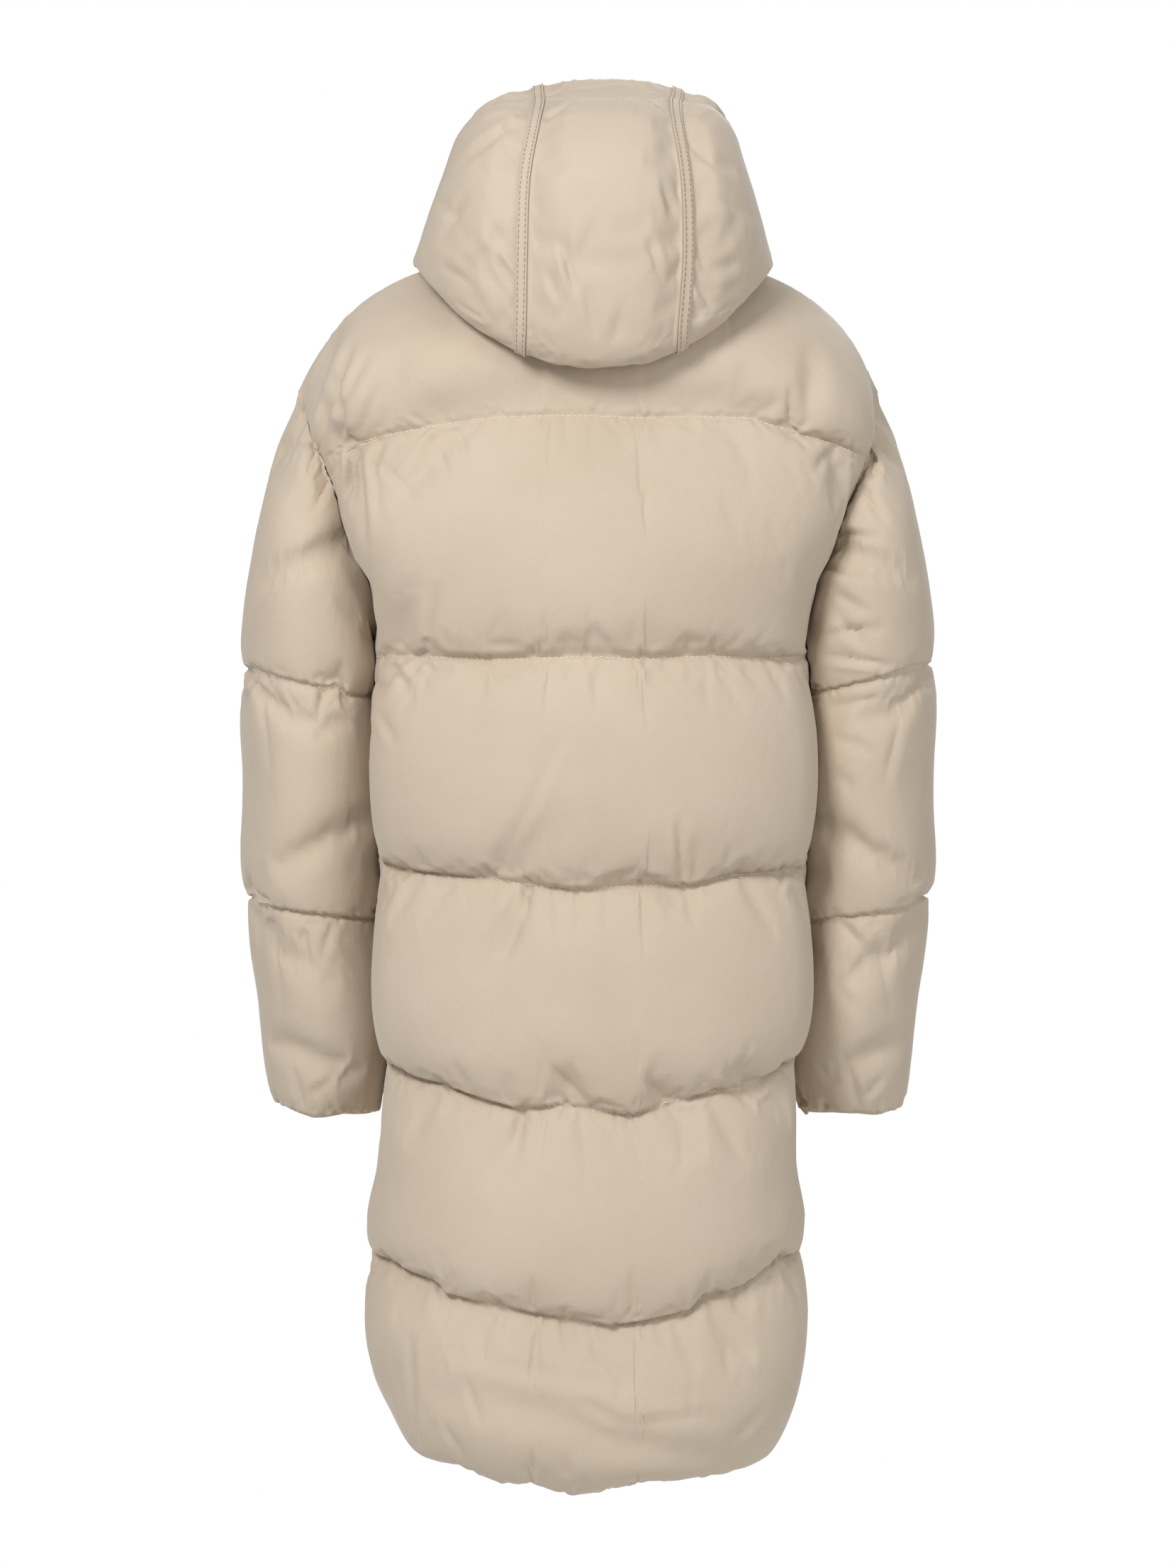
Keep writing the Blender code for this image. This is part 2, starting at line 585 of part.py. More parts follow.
def tube(name, route, radius):
    """A wire through route's points, as a closed mesh."""
    curve = bpy.data.curves.new(name, "CURVE")
    curve.dimensions = "3D"
    curve.bevel_depth = radius * MM
    curve.bevel_resolution = 2
    curve.use_fill_caps = True
    line = curve.splines.new("POLY")
    line.points.add(len(route) - 1)
    for point, place in zip(line.points, route):
        point.co = [value * MM for value in place] + [1]
    guide = bpy.data.objects.new(name + "_guide", curve)
    bpy.context.scene.collection.objects.link(guide)
    graph = bpy.context.evaluated_depsgraph_get()
    made = bpy.data.objects.new(name, bpy.data.meshes.new_from_object(guide.evaluated_get(graph)))
    bpy.data.objects.remove(guide)
    bpy.context.scene.collection.objects.link(made)
    weld = made.modifiers.new("weld", "WELD")
    weld.merge_threshold = 0.00001
    return made


def fuse(name, solids):
    """Joins solids into one closed body, and removes them."""
    first = solids[0]
    for other in solids[1:]:
        union = first.modifiers.new("union", "BOOLEAN")
        union.operation = "UNION"
        union.object = other
    graph = bpy.context.evaluated_depsgraph_get()
    mesh = bpy.data.meshes.new_from_object(first.evaluated_get(graph))
    mesh.name = name
    for solid in solids:
        bpy.data.objects.remove(solid)
    return add_object(name, mesh, "metal")


def make_slider(place, slope):
    """The slider's two plates, joined by a post between the tapes, its flanges and bridge."""
    face = OUTER_PLATE_Y - PLATE[1] / 2
    solids = [box("outer_plate", PLATE, (0, OUTER_PLATE_Y, 0))]
    solids.append(box("inner_plate", PLATE, (0, INNER_PLATE_Y, 0)))
    post_y = (OUTER_PLATE_Y + INNER_PLATE_Y) / 2
    solids.append(box("post", (POST[0], INNER_PLATE_Y - OUTER_PLATE_Y, POST[1]), (0, post_y, POST_UP)))
    flange_y = TAPE_FACE - FLANGE_CLEAR - FLANGE[1] / 2
    for hand in (-1, 1):
        size = (FLANGE[0], FLANGE[1], PLATE[2])
        solids.append(box("flange", size, (hand * (PLATE[0] - FLANGE[0]) / 2, flange_y, 0)))
    turns = np.linspace(0, math.pi, 9)
    arch = [
        (0, face + 0.4 - BRIDGE_HEIGHT * math.sin(turn), BRIDGE_REACH * math.cos(turn))
        for turn in turns
    ]
    solids.append(tube("bridge", arch, BRIDGE_WIRE))
    slider = fuse("zip_slider", solids)
    slider.location = [value * MM for value in place]
    slider.rotation_euler.x = slope
    return slider


def make_pull(pivot):
    """The pull tab, hanging from the slider's bridge. Its origin is on the hinge axis."""
    width, thick, length = PULL
    tab = box("tab", (width, thick, length), (0, 0, -length / 2 + thick / 2))
    window = box("window", (PULL_WINDOW[0], 4 * thick, PULL_WINDOW[1] - thick),
                 (0, 0, -(PULL_WINDOW[1] + thick) / 2 + thick / 2))
    cut = tab.modifiers.new("window", "BOOLEAN")
    cut.object = window
    bevel = tab.modifiers.new("round", "BEVEL")
    bevel.width = 0.35 * MM
    bevel.segments = 2
    graph = bpy.context.evaluated_depsgraph_get()
    mesh = bpy.data.meshes.new_from_object(tab.evaluated_get(graph))
    for helper in (tab, window):
        bpy.data.objects.remove(helper)
    pull = add_object("zip_pull", mesh, "metal")
    pull.location = [value * MM for value in pivot]
    return pull


def make_materials():
    for name, (colour, roughness, metallic) in COLOURS.items():
        material = bpy.data.materials.new(name)
        material.use_nodes = True
        shader = material.node_tree.nodes["Principled BSDF"]
        shader.inputs["Base Color"].default_value = (*colour, 1)
        shader.inputs["Roughness"].default_value = roughness
        shader.inputs["Metallic"].default_value = metallic


def clear_scene():
    for item in list(bpy.data.objects):
        bpy.data.objects.remove(item)
    collection = bpy.data.collections.new("puffer_coat")
    bpy.context.scene.collection.children.link(collection)
    collection.objects.link(bpy.data.objects.new("coat", None))


def join_all(normals, sleeves, hood_normals):
    """Shares the directions through the walls at every seam between the pieces."""
    front_neck = len(FRONT_ANGLES) - 1
    back_neck = len(BACK_ANGLES) - 1
    down = np.arange(UNDERARM_ROW + 1)
    over = np.arange(SHOULDER_CELLS + 1)
    for side, hand in (("left", 1), ("right", -1)):
        back, front, sleeve = normals["back"], normals["front_" + side], sleeves[side]["normals"]
        back_edge, front_edge = (0, -1) if hand > 0 else (-1, 0)
        below = np.s_[UNDERARM_ROW:]
        join_normals((back, below, back_edge), (front, below, front_edge))
        join_normals(
            (back, 0, back_column(hand, back_neck + over)),
            (front, 0, front_column(hand, front_neck + over)),
        )
        join_normals((back, down, back_edge), (sleeve, 0, down))
        join_normals((front, down, front_edge), (sleeve, 0, -down))
        neck = np.arange(front_neck + 1)
        to_front = hand * (back_neck + front_neck - neck)
        join_normals((front, 0, front_column(hand, neck)), (hood_normals, 0, HOOD_MIDDLE + to_front))
    neck = np.arange(-back_neck, back_neck + 1)
    join_normals((normals["back"], 0, back_column(1, neck)), (hood_normals, 0, HOOD_MIDDLE + neck))
    for side, hand in (("left", 1), ("right", -1)):
        back, front, sleeve = normals["back"], normals["front_" + side], sleeves[side]["normals"]
        back_edge, front_edge = (0, -1) if hand > 0 else (-1, 0)
        join_normals(
            (back, 0, back_column(hand, back_neck)),
            (front, 0, front_column(hand, front_neck)),
            (hood_normals, 0, HOOD_MIDDLE + hand * back_neck),
        )
        for row in (0, UNDERARM_ROW):
            join_normals((back, row, back_edge), (front, row, front_edge), (sleeve, 0, row))


def back_column(hand, steps):
    """The back's column that lies steps from its middle, towards the left (hand 1)."""
    return len(BACK_ANGLES) - 1 + SHOULDER_CELLS - hand * steps


def front_column(hand, steps):
    """A front's column that lies steps from its zip edge."""
    last = len(FRONT_ANGLES) - 1 + SHOULDER_CELLS
    return steps if hand > 0 else last - steps


def make_torso(torso, normals, rows):
    """The back and the two fronts. Returns a tree of their outer faces."""
    points, faces = [], []
    for name, grid in torso.items():
        lift = torso_lift(grid, normals[name], rows, name != "front_left", name != "front_right")
        from_zip = edge_distance(grid, name == "front_left", name == "front_right")
        lift = SEWN_LIFT + (lift - SEWN_LIFT) * smoothstep(*ZIP_RISE, from_zip)
        wall(name, grid, normals[name], lift, INNER_DROP, ("top", "first", "last"))
        index = np.arange(grid[..., 0].size).reshape(grid.shape[:2]) + len(points)
        corners = index[:-1, :-1], index[1:, :-1], index[1:, 1:], index[:-1, 1:]
        faces += np.stack(corners, -1).reshape(-1, 4).tolist()
        points += (grid + normals[name] * lift[..., None]).reshape(-1, 3).tolist()
    return BVHTree.FromPolygons(points, faces)


def make_sleeve(name, torso, grid, normals, turn, hand):
    if hand < 0:
        grid, normals, turn = grid[:, ::-1], normals[:, ::-1], turn[::-1]
    lift = sleeve_lift(grid, normals, sleeve_rows(), turn, hand)
    grid = pressed(grid, normals, lift, torso)
    wall(name, grid, normals, lift, INNER_DROP, ("top",), ring=True)


def make_hood(hood, normals, lift):
    seam = BACK_ANGLES.index(SEAM_ANGLE)
    pieces = {
        "hood_side_right": slice(0, HOOD_MIDDLE - seam + 1),
        "hood_centre": slice(HOOD_MIDDLE - seam, HOOD_MIDDLE + seam + 1),
        "hood_side_left": slice(HOOD_MIDDLE + seam, hood.shape[1]),
    }
    for name, columns in pieces.items():
        edges = ("top", "first", "last")
        wall(name, hood[:, columns], normals[:, columns], lift[:, columns], INNER_DROP, edges)
    for side, hand in (("left", 1), ("right", -1)):
        column = HOOD_MIDDLE + hand * seam
        make_strip("hood_seam_" + side, hood, normals, lift, column)


def make_zip(torso, normals, hood, hood_normals):
    for side, hand in (("left", 1), ("right", -1)):
        columns = list(front_column(hand, np.array([0, 1])))
        front = torso["front_" + side][:, columns], normals["front_" + side][:, columns]
        columns = [-1, -2] if hand > 0 else [0, 1]
        collar = hood[:, columns], hood_normals[:, columns]
        edge = np.concatenate([front[0][::-1], collar[0][1:]])
        slider_run = edge_run(edge)[-1] - SLIDER_DOWN
        make_tape("zip_tape_" + side, hand, front, collar, slider_run)
    place = [np.interp(slider_run, edge_run(edge), edge[:, 0, axis]) for axis in (1, 2)]
    foot, top = collar[0][0, 0], collar[0][-1, 0]
    slope = math.atan2(foot[1] - top[1], top[2] - foot[2])
    make_slider((0, *place), slope)
    out = PLATE[1] / 2 - OUTER_PLATE_Y + PIVOT_OUT
    make_pull((0, place[0] - out * math.cos(slope), place[1] - out * math.sin(slope)))


def main():
    clear_scene()
    make_materials()
    rows = torso_rows()
    torso = torso_grids(rows)
    normals = {name: outward_normals(grid) for name, grid in torso.items()}
    angles = hood_angles()
    hood = hood_grid(angles)
    hood_normals = outward_normals(hood)
    sleeves = {}
    for side, hand in (("left", 1), ("right", -1)):
        grid, turn = sleeve_grid(armhole(torso, hand), hand, sleeve_rows())
        sleeves[side] = {"grid": grid, "normals": ring_normals(grid, hand), "turn": turn, "hand": hand}
    join_all(normals, sleeves, hood_normals)
    outer_faces = make_torso(torso, normals, rows)
    for side, sleeve in sleeves.items():
        make_sleeve("sleeve_" + side, outer_faces, **sleeve)
    lift = hood_lift(angles)
    hood = pressed(hood, hood_normals, lift, outer_faces)
    make_hood(hood, hood_normals, lift)
    make_zip(torso, normals, hood, hood_normals)


if __name__ == "__main__":
    main()
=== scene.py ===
"""Looks of the long hooded puffer coat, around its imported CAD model.

The coat faces -Y, +Z is up and +X is the wearer's left. The camera stands behind it, on +Y.
Every cloth piece is made again on the CAD model's own tables, several times as fine. Its
outer face is then relaxed by Blender's cloth, and gets its creases, puckers and stitches.
The tables and the named sizes are in millimetres, and the scene is in metres.
"""

import math
from collections import namedtuple

import bmesh
import bpy
import numpy as np
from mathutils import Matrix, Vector
from mathutils.bvhtree import BVHTree

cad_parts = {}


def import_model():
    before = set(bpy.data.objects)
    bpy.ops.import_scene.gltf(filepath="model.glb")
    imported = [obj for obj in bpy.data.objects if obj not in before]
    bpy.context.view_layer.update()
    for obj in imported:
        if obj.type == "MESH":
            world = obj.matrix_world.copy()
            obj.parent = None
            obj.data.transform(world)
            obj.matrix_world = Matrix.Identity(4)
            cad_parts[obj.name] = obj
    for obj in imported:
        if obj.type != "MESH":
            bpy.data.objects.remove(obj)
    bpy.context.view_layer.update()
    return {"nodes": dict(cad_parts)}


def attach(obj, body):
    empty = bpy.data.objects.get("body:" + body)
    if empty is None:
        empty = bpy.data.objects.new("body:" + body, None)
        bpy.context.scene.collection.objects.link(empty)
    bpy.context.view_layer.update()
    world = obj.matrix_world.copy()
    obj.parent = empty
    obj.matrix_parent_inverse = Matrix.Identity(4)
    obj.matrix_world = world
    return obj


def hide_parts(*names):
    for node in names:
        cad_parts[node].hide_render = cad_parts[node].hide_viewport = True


MM = 0.001

# How much finer than the CAD model the pieces are: for the cloth, and then for the details
ACROSS = 5
DOWN = 5
FINER = {"back": (2, 2), "front": (2, 2), "sleeve": (2, 3), "hood": (3, 3)}  # rows, columns
INSIDE = 5  # the plain inside keeps every fifth row and column

# Walls, as in the CAD model
SEAM_GAP = 0.35
SEWN_LIFT = 2.2
INNER_DROP = 1.6
BODY_PUFF = 25.0
SLEEVE_PUFF = 15.0
SLEEVE_BULGE = 9.0  # beside the armhole, over the body's edge
SLEEVE_LEAN = ((0.80, 0.24, 13.0), (1.95, 0.16, 9.0))  # station, reach and how far towards the body
BAFFLE_ROUND = 0.48
BAFFLE_LOW = 1.22  # above 1 sets a baffle's fullest place below its middle
SAG = 3.5  # how far a baffle's lower edge hangs towards the quilt line under it
SAG_BACK = 40  # the power that brings it back to 0 at the line itself
LAST_SAG = (1.0, 0.4)  # before the last line, the stations between which the sag ends
EDGE_RISE = 70.0
ARMHOLE_RISE = 95.0
ZIP_RISE = (-4.0, 26.0)
SIDE_FLAT = (12.0, 95.0)  # from a side seam, where the padding rises
YOKE_FLAT = 0.75  # the share of the padding that is missing beside the yoke line
YOKE_ENDS = (120.0, 200.0)
COLLAR_FLAT = (0.0, 45.0)  # from the neck seam, where the padding rises
NAPE_FLAT = (18.0, 90.0)  # the same where the hood lies on the back
NAPE_PRESS = 0.8
NAPE_SIDE = (0.0, 60.0)  # in y, from where no hood lies on the body to where it does
NECK_POINTS = 121
BELOW_ARM = (1.6, 2.4)  # the stations between which the padding changes at the sides
FULL_LINES = (1.3, 1.9)
FREE_LINES = (3.9, 4.3)
SIDE_PRESS = 0.92
SIDE_ROUND = (1.2, 0.45)  # the power of the rise at the sides, and how much less below the arm
FREE_SIDE = 0.45
YOKE_REACH = 0.3
BODY_FOLDED, SLEEVE_FOLDED = 0.75, 0.7  # the most of the padding that a fold takes
FOLD_ENDS = 0.35  # the share of its depth that a fold has at its ends
FOLD_FACING = (-0.1, 0.3)  # how far the cloth faces a fold's side, where it fades in
SLEEVE_THIN = (0.55, 0.3)  # the share of its padding that a sleeve lacks inside and outside
BULGE_AT = (0.75 * math.pi, 0.55)  # its turn round the arm, and how far it reaches
BULGE_DOWN = (0.45, 0.22)
HOOD_SEWN = 16.0  # degrees from a hood seam, where its padding is full
HOOD_EDGE = (26.0, 0.15)  # the same from its front edge, and the share that is left there
HEEL_WIDE = (85.0, 150.0)
HEEL_AT = (5.1, 0.75)

# Neck, shoulder and zip, as in the CAD model
ZIP_HALF = 5.0
NECK_SHARE = 0.42
SIDE_NECK_ANGLE = 82.0
SHOULDER_PULL = (207.0, -8.0, 14.0)
SHOULDER_TIP = (254.0, -8.0, -88.0)
QUARTER_POINTS = 240
SEAM_ANGLE = 30.0
STRIP_ANGLE = 3.6
PRESS_CLEAR = 1.5
PRESS_REACH = 40.0
PRESS_ROUNDS = 3
PRESS_ROWS = 3 * DOWN  # from the seam, over which a piece comes clear of the torso
TAPE_THICK = 1.2
STRIP_CLEAR = 0.2
SLIDER_DOWN = 14.0

# Cloth: how each outer face is relaxed
PRESSURE = 3.0
EASE = 0.03  # how much longer the cloth is than the shape it starts from
FRAMES = 20
MOST_MOVE = 7.0  # a point moves this far from the CAD model's shape, at most
HOOD_LOOSE, YOKE_LOOSE = 0.5, 0.3  # the share of its move that each point there keeps
BELOW_YOKE = (0.9, 1.1)  # the stations between which the yoke's share becomes the body's
SIDE_LOOSE = (0.0, 50.0)  # from a side seam
SEAM_LOOSE = 0.25  # the share at the side seam itself
CLOTH = {
    "quality": 5, "mass": 0.2, "tension_stiffness": 18, "compression_stiffness": 18,
    "shear_stiffness": 8, "bending_stiffness": 1.2, "vertex_group_mass": "sewn",
    "use_pressure": True, "uniform_pressure_force": PRESSURE, "shrink_min": -EASE,
}

# Sewing
STITCH = 3.6
STITCH_GAP = 1.3
STITCH_SWAY = 0.25  # how far each end strays, along its line and across it
THREAD = 0.38
QUILT_SEEDS, STRIP_SEEDS = 10, 100  # the seeds kept for a piece's lines, and the strips' first
STITCH_UP = 0.6  # the share of the thread's radius that its middle stands off the cloth
STRIP_HALF = 5.2
STRIP_THICK = 1.0
STRIP_CURL = 0.9  # how far a strip's edge towards the hood's middle stands up
CURL_FROM = 0.6  # of half its width, where it begins to stand up
STRIP_ACROSS = (-1, -0.92, -0.5, 0, 0.5, 0.92, 1)  # a strip's columns, in half widths
RIBBON_EDGE = 0.4  # the share of its thickness that a strip or tape has at its long edges
STRIP_STITCH = 3.0  # from a strip's middle to each of its two stitch lines
PUCKER_SEED = 11
OPEN = 1e6  # longer than any line of puckers that doesn't close on itself
WAVE_SEED = 5
LINE_WAVE = 4.0  # how far the sleeves' quilt lines stray
LINE_KNOTS = 9
CLEAR_OF_BODY = 0.9  # from a sleeve's or the hood's outer face to the body's
CLEAR_REACH = 12.0
THINNEST = 1.4
CREASE_DEEP = 1.45
CREASE_SHARP = 1.25  # 1 ends a crease's two sides in a sharp line, and 2 in a round one
CREASE_TAPER = (0.06, 0.88, 0.7)  # of half a turn: its start, its length, and its power
CREASE_FACING = (-0.1, 0.25)  # the same as FOLD_FACING
CREASE_NARROW = 0.8  # the reach of its trough, in crease widths
CREASE_LIP = (1.7, 0.9)  # its middle and its reach beside the crease, in crease widths
LIP_SHARE = 0.55
PUCKER_LIP = (0.42, 1.7)  # height and place of the swell on each side of a pucker
PUCKER_FADE = (0.12, 1.3)  # the share of its reach where it begins, and the power of its end
PUCKER_FAN = (0.7, 0.6)  # its width at the line, and how much it widens from there
PUCKER_SLANT = 0.55
FIRST_PUCKER = (4, 16)  # from the start of the line
LAST_PUCKER = 8  # before the end of a line that closes on itself
STRONG_PUCKER = (1.4, 2.4, 3.6)  # the share of the longest reach, the depth and the width
STRONG_SLANT = 1.0
STRONG_UNEVEN = ((0.8, 1.4), (0.8, 1.3))  # how their reach and their depth vary, from and to
CRUMPLE_RIDGES = 26
CRUMPLE_ACROSS = (1, 1, 0.6)  # the ridges run more along the coat's height than round it
CRUMPLE_FINER = (0.7, 1.5)  # how much finer than their size the ridges are, from and to
CRUMPLE_PATCH = 4.5  # the patches that the ridges fade in and out of, in sizes of the ridges
CRUMPLE_SHARE = 5  # the sum of the ridges is divided by this
TURN = 6.3  # a full turn, for the ridges' random starts
HOOD_OUTSIDE = (4.4, 5.0)  # the stations between which the hood's creases begin
SEWN_FLAT = 3.0  # from the sewing, where the details have their full height

# Zip: the tapes, their teeth and where the slider parts them
TAPE_FACE = INNER_DROP + 0.3
TAPE_SPLIT = 2.6
TAPE_STEP = 6.0
POST_UP = 3.6
SLIDER_HALF = 6.0
ZIP_INWARD = 6  # columns from the zip edge to the points that say which way the front lies
TAPE_ACROSS = (0, 0.6, 3, 6, 10, 13, 15)  # a tape's columns
TAPE_PARTS = (6.0, 1.0)  # from below the slider's post to above it, where the tapes part
TOOTH = (2.3, 2.0, 1.1)  # across, out and up
TOOTH_CUT = 0.78  # where each bevel begins, as a share of the half size
TOOTH_PITCH = 2.7
TOOTH_IN = 0.1  # from the tape's edge
TEETH_ENDS = (4.0, 2.0)  # without teeth, at the hem and at the collar

# Camera and floor
CAMERA_FAR = 3.3
CAMERA_UP = -0.441
FRAME_PIXELS = 2212
PIXEL = 0.63 * MM  # in the plane of the neck
SENSOR = 36.0
FLOOR_DOWN = -1.45  # where the wearer's feet would be
FLOOR_WIDE = 1.3
FLOOR_SIDES = 96

# Light and colour
AMBIENT = 0.425
LIT = (0, 0, -0.4)
LIGHTS = (  # name, place, size, power
    ("key", (1.3, 2.65, 1.3), 1.0, 75.0),
    ("fill", (-2.2, 2.6, 0.5), 1.6, 32.0),
    ("front_key", (-1.0, -3.0, 1.4), 1.8, 50.0),
)
SHELL_DARK = (0.565, 0.468, 0.360)
SHELL_LIGHT = (0.605, 0.508, 0.399)
STAIN = (0.42, 0.26, 0.12)
STAIN_AT = (0.105, 0.125, 0.053)
TAPE_SHADES = (0.30, 0.24, 0.18), (0.42, 0.35, 0.27)
THREAD_SHADES = (0.66, 0.56, 0.44), (0.80, 0.71, 0.60)
STRIP_THREAD_SHADES = (0.17, 0.13, 0.09), (0.30, 0.24, 0.18)
SLIDER_METAL = (0.36, 0.33, 0.29), (0.60, 0.57, 0.52), 0.28  # colour, where worn, roughness
TEETH_METAL = (0.42, 0.37, 0.30), (0.62, 0.57, 0.50), 0.34
FLOOR_SHADES = (0.80, 0.80, 0.79), (0.84, 0.84, 0.83)

# Tables, with a name for each column


def table(columns, text):
    """Rows of numbers, as records whose columns have names."""
    row = namedtuple("Row", columns)
    return [row(*(float(number) for number in line.split())) for line in text.strip().splitlines()]


# The body's rings, which stand at the quilt lines (the whole stations) and between them
TORSO_COLUMNS = (
    "station half lean edge_z back_edge_y front_edge_y back_y back_z front_y front_z square"
)
TORSO = table(TORSO_COLUMNS, """
    0.50 246 -2 -125 24 -38 104   -64 -108  -102 2.1
    1.00 235 -6 -161 44 -54 124  -130 -121  -146 2.2
    1.45 206 -4 -232 44 -44 139  -212 -129  -222 2.3
    1.88 186 -3 -304 12  12 146  -302 -134  -304 2.3
    2.00 188 -3 -332 14  14 147  -334 -135  -332 2.3
    2.50 188 -5 -420 14  14 146  -432 -136  -424 2.3
    3.00 186 -4 -506 14  14 144  -530 -136  -512 2.3
    4.00 179 -3 -668 12  12 148  -722 -138  -682 2.3
    4.50 167  1 -750 10  10 151  -812 -140  -766 2.3
    5.00 186  2 -828  8   8 154  -898 -142  -848 2.3
    5.55 171  1 -928  6   6 152  -985 -140  -938 2.3
    6.00 156 -3 -998  4   4 128 -1042 -118 -1004 2.2
""")

SLEEVE = table("station x y z rx ry tilt sag", """
    0.50 240  -6 -228 31 80 40 50
    1.00 249 -15 -350 51 86 14  0
    1.50 242 -26 -448 50 86  4  0
    2.00 248 -36 -553 50 82  9  0
    2.50 233 -46 -645 46 76  3  0
    3.00 236 -54 -733 40 60  4  0
""")

# The hood's rings: neck, stand, roll, fall, pouch, heel, wide,
# upper, crown, top, stitch, band, mouth
HOOD_COLUMNS = "station half lean back_y back_z side_z front_y front_z seam_left seam_right"
HOOD = table(HOOD_COLUMNS, """
     0.0  90   0  76   0  20  -98 -66   30   30
     1.0  95   0  83  19  37 -102 -58   29   30
     2.0 113  -2 104  15  38 -106 -52   27   29
     3.0 132  -5 129 -29  27 -110 -46   24 27.5
     4.0 148  -8 152 -84  16 -113 -40 22.5   25
     5.0 152  -8 172 -68  20 -116 -33 21.5   25
     6.0 138 -10 180  -4  40 -119 -26 24.4 29.3
     7.0 123 -11 170  64  76 -122 -19 27.4 32.4
     8.0 115 -12 128 122 106 -125 -12   26   31
     9.0 113 -13  78 149 116 -127  -7 25.8   31
    10.0 114 -14  30 164 118 -129  -2 26.3 31.2
    10.5 117 -14  14 174 122 -130   2   26   31
    11.0 117 -14   0 182 119 -131   6   26   31
""")
HOOD_SQUARE = 2.3
BRIM_STITCH = 9.3
HEEL_ROUND = 5.0  # how far the hood's widest place is drawn in
HOOD_PUFF = ((0, 1, 2, 3, 4, 5, 6, 7, 8, 8.8, 9.3, 9.8, 10.4, 11),
             (0, 0.5, 1, 1, 1, 3, 7, 8.5, 8, 5, 0, 4.6, 5.4, 1.5))  # at each station

# Folds that the CAD model has too. side is 1 for those seen from behind, -1 from in front.
FOLD_COLUMNS = "side x1 z1 x2 z2 depth width"
BODY_FOLDS = table(FOLD_COLUMNS, """
     1  214  -48  240  -122 11 11
     1  218 -100  222  -165  9  9
     1  206 -140  200  -196  8  8
     1  150  -95  192  -150  6 12
     1  136 -272  168  -352  8 12
     1  120 -160  160  -205  6 14
     1 -182  -86 -183  -140  8 11
     1 -200 -190 -214  -160  7 10
     1   22 -470   76  -524  5 15
     1   52 -534   72  -590  7 13
     1   34 -680    6  -716  7 14
     1  -54 -690  -70  -718  6 14
     1 -126 -686 -142  -708  6 13
     1   54 -722   62  -770  6 13
     1  110 -950  -40  -985  8 14
     1    4 -985 -104 -1000  7 13
     1  152 -930  150 -1010  6 12
    -1  120 -150  190  -190  7 14
    -1 -130 -150 -186  -200  7 14
    -1   60 -352   96  -410  6 14
    -1  -84 -500  -50  -455  6 14
    -1   70 -655   40  -690  6 14
    -1  -60 -715  -80  -770  6 13
    -1  120 -900   40  -930  7 14
    -1  -30 -940 -130  -920  7 14
""")
SLEEVE_FOLDS = table(FOLD_COLUMNS, """
     1 262 -150 236 -240 6 12
     1 215 -225 262 -262 6 12
     1 288 -345 240 -395 6 11
     1 216 -470 272 -520 6 12
     1 284 -560 238 -610 6 11
     1 222 -690 268 -660 6 11
    -1 258 -170 228 -250 6 12
    -1 280 -380 235 -430 6 12
    -1 226 -500 274 -470 6 12
    -1 268 -600 226 -640 6 12
""")

# Where each quilt line, from the yoke line (1) to the hem (6), strays from the CAD model's
# smooth one. For a piece and a line: the places across it, x, and how far it rises there.
STRAYS = {
    ("back", 1): ((-242, -177, -140, -43, 77, 136, 200, 215), (1, 4, 10, 2, 5, 4, 3, 1)),
    ("back", 2): ((-195, -150, -103, -45, 0, 84, 140, 189), (3, 0, 2, -1, 1, -1, 2, 3)),
    ("back", 3): ((-191, -166, -122, -83, -41, 9, 47, 81, 157), (0, 3, 6, 0, 3, -1, 2, 6, 5)),
    ("back", 4): (
        (-187, -160, -131, -108, -66, -36, 17, 61, 120, 155, 179),
        (6, 12, 6, 10, 7, -1, 8, 3, 10, 7, 0),
    ),
    ("back", 5): (
        (-190, -157, -122, -94, -83, -18, 23, 72, 116, 128, 162, 194),
        (-4, 18, 10, 11, 3, -1, 5, 10, 9, 15, 14, -2),
    ),
    ("back", 6): ((-150, -92, -47, -11, 14, 45, 70, 101, 130), (-8, 0, 5, 0, -2, 5, 1, 7, 0)),
    ("front_left", 1): ((20, 70, 110, 170), (0, 3, -2, 2)),
    ("front_left", 2): ((30, 66, 120, 160), (0, 4, -1, 3)),
    ("front_left", 3): ((24, 80, 104, 150), (1, -2, 4, 1)),
    ("front_left", 4): ((30, 60, 112, 150), (-1, 4, -3, 3)),
    ("front_left", 5): ((26, 74, 98, 140), (0, -3, 4, 5)),
    ("front_right", 1): ((-180, -120, -66, -20), (1, -2, 3, 0)),
    ("front_right", 2): ((-164, -104, -70, -30), (2, 4, -2, 0)),
    ("front_right", 3): ((-150, -92, -60, -20), (0, 4, -2, 1)),
    ("front_right", 4): ((-156, -118, -70, -26), (4, -2, 4, -1)),
    ("front_right", 5): ((-150, -90, -52, -22), (5, 4, -2, 1)),
}
STRAY_REACH = 0.22  # of a baffle, to either side of the line
STRAY_BLEND = 45.0  # from the side seam, where a front's own lines begin

